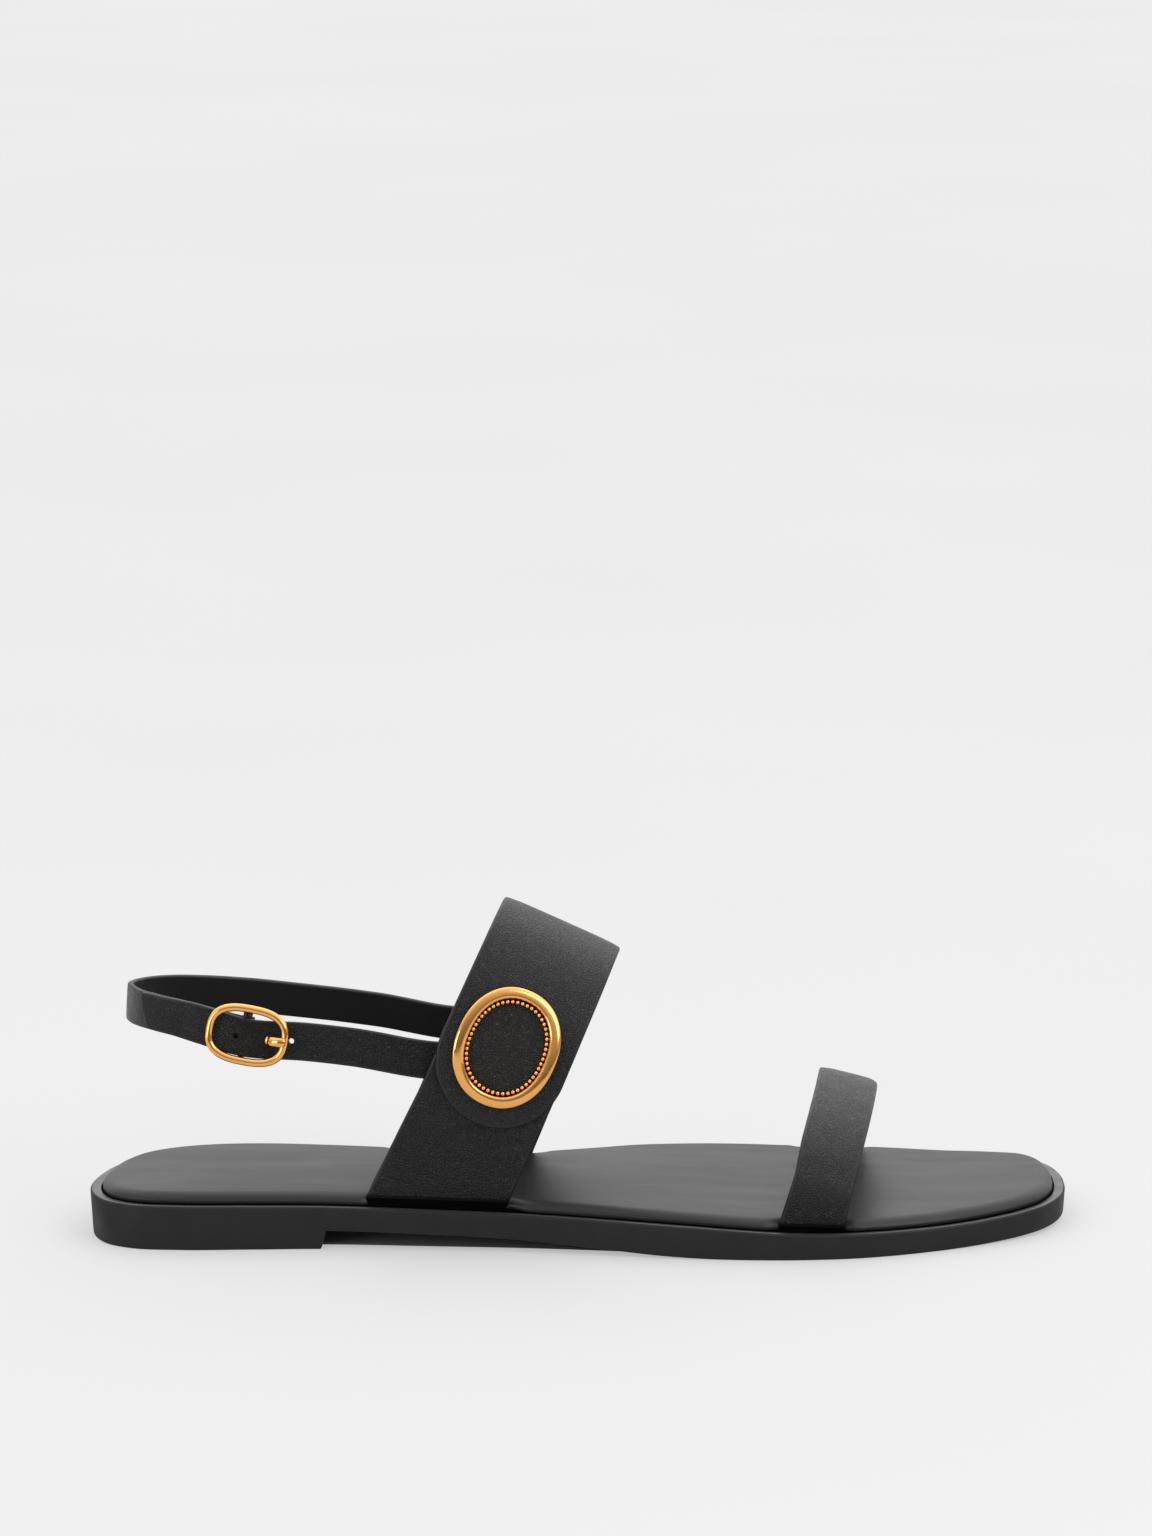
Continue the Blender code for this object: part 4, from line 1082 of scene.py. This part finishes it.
def ornament_points(inset, lift, count):
    """Points round the ornament, at an inset from its outer edge, and the way out of the strap."""
    centre = INSTEP.lateral_run(ORNAMENT_HEIGHT)
    along, aside = oval(ORNAMENT_LONG / 2 - inset, ORNAMENT_WIDE / 2 - inset, count, ORNAMENT_POWER)
    base = LAP + STRAP_WALL / 2
    low = INSTEP.place(centre + along, aside + ORNAMENT_SHIFT, base + lift + 0.0 * along)
    high = INSTEP.place(centre + along, aside + ORNAMENT_SHIFT, base + 2 * lift + 0.001 + 0.0 * along)
    return low, unit(high - low)


def make_ornament_ring(finish):
    deep = ORNAMENT_DEPTH / 2
    points, outward = ornament_points(ORNAMENT_BAND / 2, deep, 180)
    return tube("ornament_ring", points, outward, deep, ORNAMENT_BAND / 2, finish, closed=True,
                sides=28, power=2.8)


def bead_tree(finish):
    """Geometry nodes: a ball on each point, made real, with its finish."""
    tree = bpy.data.node_groups.new("bead_row", "GeometryNodeTree")
    face = tree.interface
    face.new_socket("Geometry", in_out="INPUT", socket_type="NodeSocketGeometry")
    radius = face.new_socket("Bead radius", in_out="INPUT", socket_type="NodeSocketFloat")
    rings = face.new_socket("Bead rings", in_out="INPUT", socket_type="NodeSocketInt")
    face.new_socket("Geometry", in_out="OUTPUT", socket_type="NodeSocketGeometry")
    nodes = tree.nodes
    start = nodes.new("NodeGroupInput")
    spots = nodes.new("GeometryNodeMeshToPoints")
    ball = nodes.new("GeometryNodeMeshUVSphere")
    place = nodes.new("GeometryNodeInstanceOnPoints")
    real = nodes.new("GeometryNodeRealizeInstances")
    smooth = nodes.new("GeometryNodeSetShadeSmooth")
    paint = nodes.new("GeometryNodeSetMaterial")
    end = nodes.new("NodeGroupOutput")
    paint.inputs["Material"].default_value = finish
    ball.inputs["Segments"].default_value = BEAD_SEGMENTS
    chain = (
        (start, "Geometry", spots, "Mesh"), (start, "Bead radius", ball, "Radius"),
        (start, "Bead rings", ball, "Rings"), (spots, "Points", place, "Points"),
        (ball, "Mesh", place, "Instance"), (place, "Instances", real, "Geometry"),
        (real, "Geometry", smooth, "Geometry"), (smooth, "Geometry", paint, "Geometry"),
        (paint, "Geometry", end, "Geometry"),
    )
    for source, output, target, entry in chain:
        tree.links.new(source.outputs[output], target.inputs[entry])
    return tree, {"radius": radius.identifier, "rings": rings.identifier}


def make_beads(finish):
    """A row of small beads just inside the ornament's ring."""
    inset = ORNAMENT_BAND + BEAD_RADIUS
    dense, _ = ornament_points(inset, 0.8 * BEAD_RADIUS, 2000)
    closed = np.vstack([dense, dense[:1]])
    run = runs_along(closed)
    count = int(round(run[-1] / BEAD_PITCH))
    spots = np.linspace(0.0, run[-1], count, endpoint=False)
    points = np.stack([np.interp(spots, run, column) for column in closed.T], axis=1)
    mesh = bpy.data.meshes.new("ornament_beads")
    mesh.from_pydata([tuple(point) for point in points], [], [])
    piece = placed("ornament_beads", mesh)
    tree, names = bead_tree(finish)
    step = piece.modifiers.new("beads", "NODES")
    step.node_group = tree
    step[names["radius"]] = BEAD_RADIUS
    step[names["rings"]] = BEAD_RINGS
    bake_modifiers(piece)
    return piece


# Finishes

def map_range(nodes, low, high, to_low, to_high, kind="SMOOTHSTEP"):
    """A node that turns one range of values into another."""
    node = nodes.new("ShaderNodeMapRange")
    node.interpolation_type = kind
    for name, value in zip(("From Min", "From Max", "To Min", "To Max"), (low, high, to_low, to_high)):
        node.inputs[name].default_value = value
    return node


class Finish:
    """A principled material whose patterns read the piece's own Object coordinates."""

    def __init__(self, name, colour, roughness, metallic=0.0, specular=0.5):
        self.material = bpy.data.materials.new(name)
        self.material.use_nodes = True
        self.tree = self.material.node_tree
        self.shader = self.tree.nodes["Principled BSDF"]
        self.shader.inputs["Base Color"].default_value = (*colour, 1.0)
        self.shader.inputs["Roughness"].default_value = roughness
        self.shader.inputs["Metallic"].default_value = metallic
        self.shader.inputs["Specular IOR Level"].default_value = specular
        self.spot = self.tree.nodes.new("ShaderNodeTexCoord").outputs["Object"]
        self.bumped = None

    def link(self, source, target):
        self.tree.links.new(source, target)

    def mapped(self, scale):
        node = self.tree.nodes.new("ShaderNodeMapping")
        node.inputs["Scale"].default_value = scale
        self.link(self.spot, node.inputs["Vector"])
        return node.outputs["Vector"]

    def noise(self, scale, detail=2.0, roughness=0.5, source=None):
        node = self.tree.nodes.new("ShaderNodeTexNoise")
        node.inputs["Scale"].default_value = scale
        node.inputs["Detail"].default_value = detail
        node.inputs["Roughness"].default_value = roughness
        self.link(source or self.spot, node.inputs["Vector"])
        return node.outputs["Fac"]

    def pebbles(self, scale):
        """Rounded cells of leather grain, stirred by a finer noise."""
        stirred = self.tree.nodes.new("ShaderNodeVectorMath")
        stirred.operation = "MULTIPLY_ADD"
        wander = self.tree.nodes.new("ShaderNodeTexNoise")
        wander.inputs["Scale"].default_value = 0.7 * scale
        self.link(self.spot, wander.inputs["Vector"])
        self.link(wander.outputs["Color"], stirred.inputs[0])
        stirred.inputs[1].default_value = (GRAIN_STIR / scale,) * 3
        self.link(self.spot, stirred.inputs[2])
        cells = self.tree.nodes.new("ShaderNodeTexVoronoi")
        cells.feature = "DISTANCE_TO_EDGE"
        cells.inputs["Scale"].default_value = scale
        self.link(stirred.outputs["Vector"], cells.inputs["Vector"])
        return self.ranged(cells.outputs["Distance"], 0.0, 0.28, 0.0, 1.0)

    def ranged(self, source, low, high, to_low, to_high):
        node = map_range(self.tree.nodes, low, high, to_low, to_high)
        self.link(source, node.inputs["Value"])
        return node.outputs["Result"]

    def bump(self, height, distance, strength=1.0):
        """Add a relief of a real height, in metres, on top of those before it."""
        node = self.tree.nodes.new("ShaderNodeBump")
        node.inputs["Distance"].default_value = distance
        node.inputs["Strength"].default_value = strength
        self.link(height, node.inputs["Height"])
        if self.bumped is not None:
            self.link(self.bumped, node.inputs["Normal"])
        self.bumped = node.outputs["Normal"]
        self.link(self.bumped, self.shader.inputs["Normal"])

    def colours(self, source, low, high):
        node = self.tree.nodes.new("ShaderNodeValToRGB")
        node.color_ramp.elements[0].color = (*low, 1.0)
        node.color_ramp.elements[1].color = (*high, 1.0)
        self.link(source, node.inputs["Fac"])
        self.link(node.outputs["Color"], self.shader.inputs["Base Color"])

    def roughen(self, source, low, high):
        self.link(self.ranged(source, 0.3, 0.7, low, high), self.shader.inputs["Roughness"])


def strap_leather(name, tint, specular=0.36):
    """Black leather with a fine pebbled grain and a faint gloss."""
    finish = Finish(name, tint, 0.40, specular=specular)
    grain = finish.pebbles(1700.0)
    finish.bump(finish.noise(140.0, 2.0), 0.00002, 0.3)
    finish.bump(grain, 0.00020, 1.0)
    finish.colours(grain, tuple(0.6 * value for value in tint), tuple(1.2 * value for value in tint))
    finish.roughen(finish.noise(260.0, 3.0), 0.30, 0.39)
    return finish.material


def edge_paint():
    """Smooth black paint on the cut edges."""
    finish = Finish("black_edge_paint", (0.004, 0.004, 0.0044), 0.44, specular=0.38)
    finish.bump(finish.noise(900.0, 2.0), 0.00004, 0.5)
    finish.roughen(finish.noise(300.0, 2.0), 0.38, 0.50)
    return finish.material


def painted_shade_finish(name, tone, specular):
    """Painted shade: the strip where leather goes down behind the rim, darkened as if shadowed, also used
    on the footbed's edge.
    """
    finish = Finish(name, (tone, tone, 1.05 * tone), 0.70, specular=specular)
    finish.bump(finish.noise(1700.0, 2.0), 0.00003, 0.5)
    finish.roughen(finish.noise(260.0, 3.0), 0.62, 0.78)
    return finish.material


def lining_leather():
    """The smooth black leather inside the straps."""
    finish = Finish("black_lining_leather", (0.005, 0.005, 0.0055), 0.58, specular=0.25)
    finish.bump(finish.pebbles(2600.0), 0.00002, 0.6)
    finish.roughen(finish.noise(220.0, 3.0), 0.52, 0.66)
    return finish.material


def footbed_leather():
    """Smooth black cover over a thin pad, with faint marks along the foot."""
    finish = Finish("black_footbed_leather", (0.014, 0.014, 0.015), 0.42, specular=0.335)
    streaks = finish.noise(1.0, 3.0, 0.6, finish.mapped((90.0, 700.0, 90.0)))
    finish.bump(streaks, 0.00003, 0.25)
    finish.bump(finish.pebbles(2200.0), 0.000025, 0.6)
    finish.colours(streaks, (0.0080, 0.0080, 0.0086), (0.0120, 0.0120, 0.0127))
    finish.roughen(finish.noise(1.0, 3.0, 0.6, finish.mapped((25.0, 110.0, 25.0))), 0.375, 0.445)
    return finish.material


def sole_rubber():
    """Matt black moulded side."""
    finish = Finish("black_sole_rubber", (0.009, 0.009, 0.0095), 0.60, specular=0.28)
    finish.bump(finish.noise(1400.0, 3.0), 0.00003, 0.6)
    finish.roughen(finish.noise(150.0, 3.0), 0.55, 0.68)
    return finish.material


def rim_rubber_painted_sheen():
    """The rim's top, rubbed smooth, with a colour lighter than the side's as painted sheen."""
    finish = Finish("black_rim_rubber_painted_sheen", (0.033, 0.033, 0.034), 0.34)
    finish.bump(finish.noise(900.0, 3.0), 0.00002, 0.5)
    finish.roughen(finish.noise(150.0, 3.0), 0.28, 0.40)
    return finish.material


def tread_rubber():
    """The walking face, with a fine moulded grain."""
    finish = Finish("black_tread_rubber", (0.014, 0.014, 0.015), 0.75)
    finish.bump(finish.pebbles(700.0), 0.00015, 0.8)
    finish.roughen(finish.noise(120.0, 3.0), 0.68, 0.82)
    return finish.material


def polished_gold():
    finish = Finish("polished_gold", (0.85, 0.42, 0.125), 0.12, 1.0)
    finish.bump(finish.noise(500.0, 2.0), 0.00001, 0.3)
    finish.roughen(finish.noise(700.0, 3.0), 0.09, 0.15)
    return finish.material


# Stage

def make_stage(name, corners, glow):
    """A flat piece of pale floor, with its own faint light."""
    finish = Finish(name, (FLOOR_TONE, FLOOR_TONE, FLOOR_TONE), 0.9)
    finish.shader.inputs["Emission Color"].default_value = (1.0, 1.0, 1.0, 1.0)
    finish.shader.inputs["Emission Strength"].default_value = glow
    finish.roughen(finish.noise(3.0, 2.0), 0.85, 0.95)
    mesh = bpy.data.meshes.new(name)
    mesh.from_pydata([tuple(corner) for corner in corners], [], [tuple(range(len(corners)))])
    mesh.materials.append(finish.material)
    placed(name, mesh)


def make_floor():
    """The floor, and the unlit patch of it in the gap under the arch of the sole."""
    signs = ((-1, -1), (1, -1), (1, 1), (-1, 1))
    make_stage("studio_floor", [(FLOOR_REACH * x, FLOOR_REACH * y, 0.0) for x, y in signs], FLOOR_GLOW)
    ring = PLAN.ring(SHADE_INSET, SHADE_RISE)
    near = (PLAN.shares * LENGTH > BREAST - SHADE_INSET) & (PLAN.shares < SHADE_END)
    make_stage("studio_shade", ring[near], 0.0)


def make_world():
    """A pale room that is bright overhead, dim near the floor and dimmer in front of the shoe."""
    world = bpy.data.worlds.new("studio")
    world.use_nodes = True
    bpy.context.scene.world = world
    nodes, links = world.node_tree.nodes, world.node_tree.links
    spot = nodes.new("ShaderNodeTexCoord")
    split = nodes.new("ShaderNodeSeparateXYZ")
    ramp = map_range(nodes, -0.2, 1.0, ROOM_LOW, ROOM_HIGH)
    back = map_range(nodes, -1.0, 1.0, ROOM_FRONT, ROOM_BACK, "LINEAR")
    product = nodes.new("ShaderNodeMath")
    product.operation = "MULTIPLY"
    shade = nodes["Background"]
    links.new(spot.outputs["Generated"], split.inputs["Vector"])
    links.new(split.outputs["Z"], ramp.inputs["Value"])
    links.new(split.outputs["Y"], back.inputs["Value"])
    links.new(ramp.outputs["Result"], product.inputs[0])
    links.new(back.outputs["Result"], product.inputs[1])
    links.new(product.outputs["Value"], shade.inputs["Strength"])
    shade.inputs["Color"].default_value = (1.0, 1.0, 1.0, 1.0)


def make_light(name, place, aim, size, power):
    light = bpy.data.lights.new(name, "AREA")
    light.shape = "RECTANGLE"
    light.size, light.size_y = size
    light.energy = power
    item = placed(name, light)
    item.location = place
    away = np.array(place) - np.array(aim)
    item.rotation_mode = "XYZ"
    item.rotation_euler = (math.atan2(math.hypot(away[0], away[1]), away[2]), 0.0,
                           math.atan2(away[1], away[0]) + math.pi / 2)


def make_camera():
    camera = bpy.data.cameras.new("camera")
    camera.sensor_width = CAMERA_SENSOR
    camera.lens = CAMERA_LENS
    camera.clip_start, camera.clip_end = CAMERA_CLIP
    item = placed("camera", camera)
    item.location = CAMERA_PLACE
    item.rotation_euler = (math.pi / 2 - CAMERA_PITCH, 0.0, 0.0)
    bpy.context.scene.camera = item


def dress():
    leather = strap_leather("black_pebbled_leather", (0.005, 0.005, 0.0054))
    # A lighter, warmer copy of the strap leather for the heel strap: painted light
    lit_copy_leather = strap_leather("black_pebbled_leather_painted_light", (0.0190, 0.0170, 0.0160))
    # A darker, less glossy copy of the strap leather for the free strap: painted shade
    shaded_copy_leather = strap_leather("black_pebbled_leather_painted_shade", (0.0040, 0.0040, 0.0043), 0.28)
    paint, lining = edge_paint(), lining_leather()
    # Painted shade for the strap roots, fading and darkest, and for the footbed's edge by the seam
    shade_fading = painted_shade_finish("painted_shade_root_fading", 0.0028, 0.14)
    painted_shade = painted_shade_finish("painted_shade_root", 0.0012, 0.04)
    shaded = painted_shade_finish("painted_shade_footbed_edge", 0.0060, 0.22)
    strap_finishes = [leather, paint, lining, shade_fading, painted_shade]
    gold = polished_gold()
    pieces = (
        (make_sole([sole_rubber(), tread_rubber(), rim_rubber_painted_sheen()]), "sole_rubber", ("outsole",)),
        (make_footbed([footbed_leather(), shaded, painted_shade]), "footbed_leather", ("insole",)),
        (make_instep_strap(strap_finishes), "strap_leather", ("upper",)),
        (make_tab(strap_finishes), "strap_leather", ("upper",)),
        (make_heel_strap([lit_copy_leather, paint, lining]), "strap_leather", ("upper",)),
        (make_free_strap([shaded_copy_leather, paint, lining]), "strap_leather", ("upper",)),
        (make_toe_strap(strap_finishes), "strap_leather", ("toe_strap",)),
        (make_buckle(gold), "gold_metal", ("buckle_frame",)),
        (make_prong(gold), "gold_metal", ("buckle_prong",)),
        (make_ornament_ring(gold), "gold_metal", ("ornament",)),
        (make_beads(gold), "gold_metal", ("ornament",)),
    )
    for piece, slot, nodes in pieces:
        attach(piece, "root")
        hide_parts(*nodes)


dress()
make_floor()
make_world()
for row in LIGHTS:
    make_light(*row)
make_camera()
bpy.context.scene.view_settings.view_transform = "Standard"
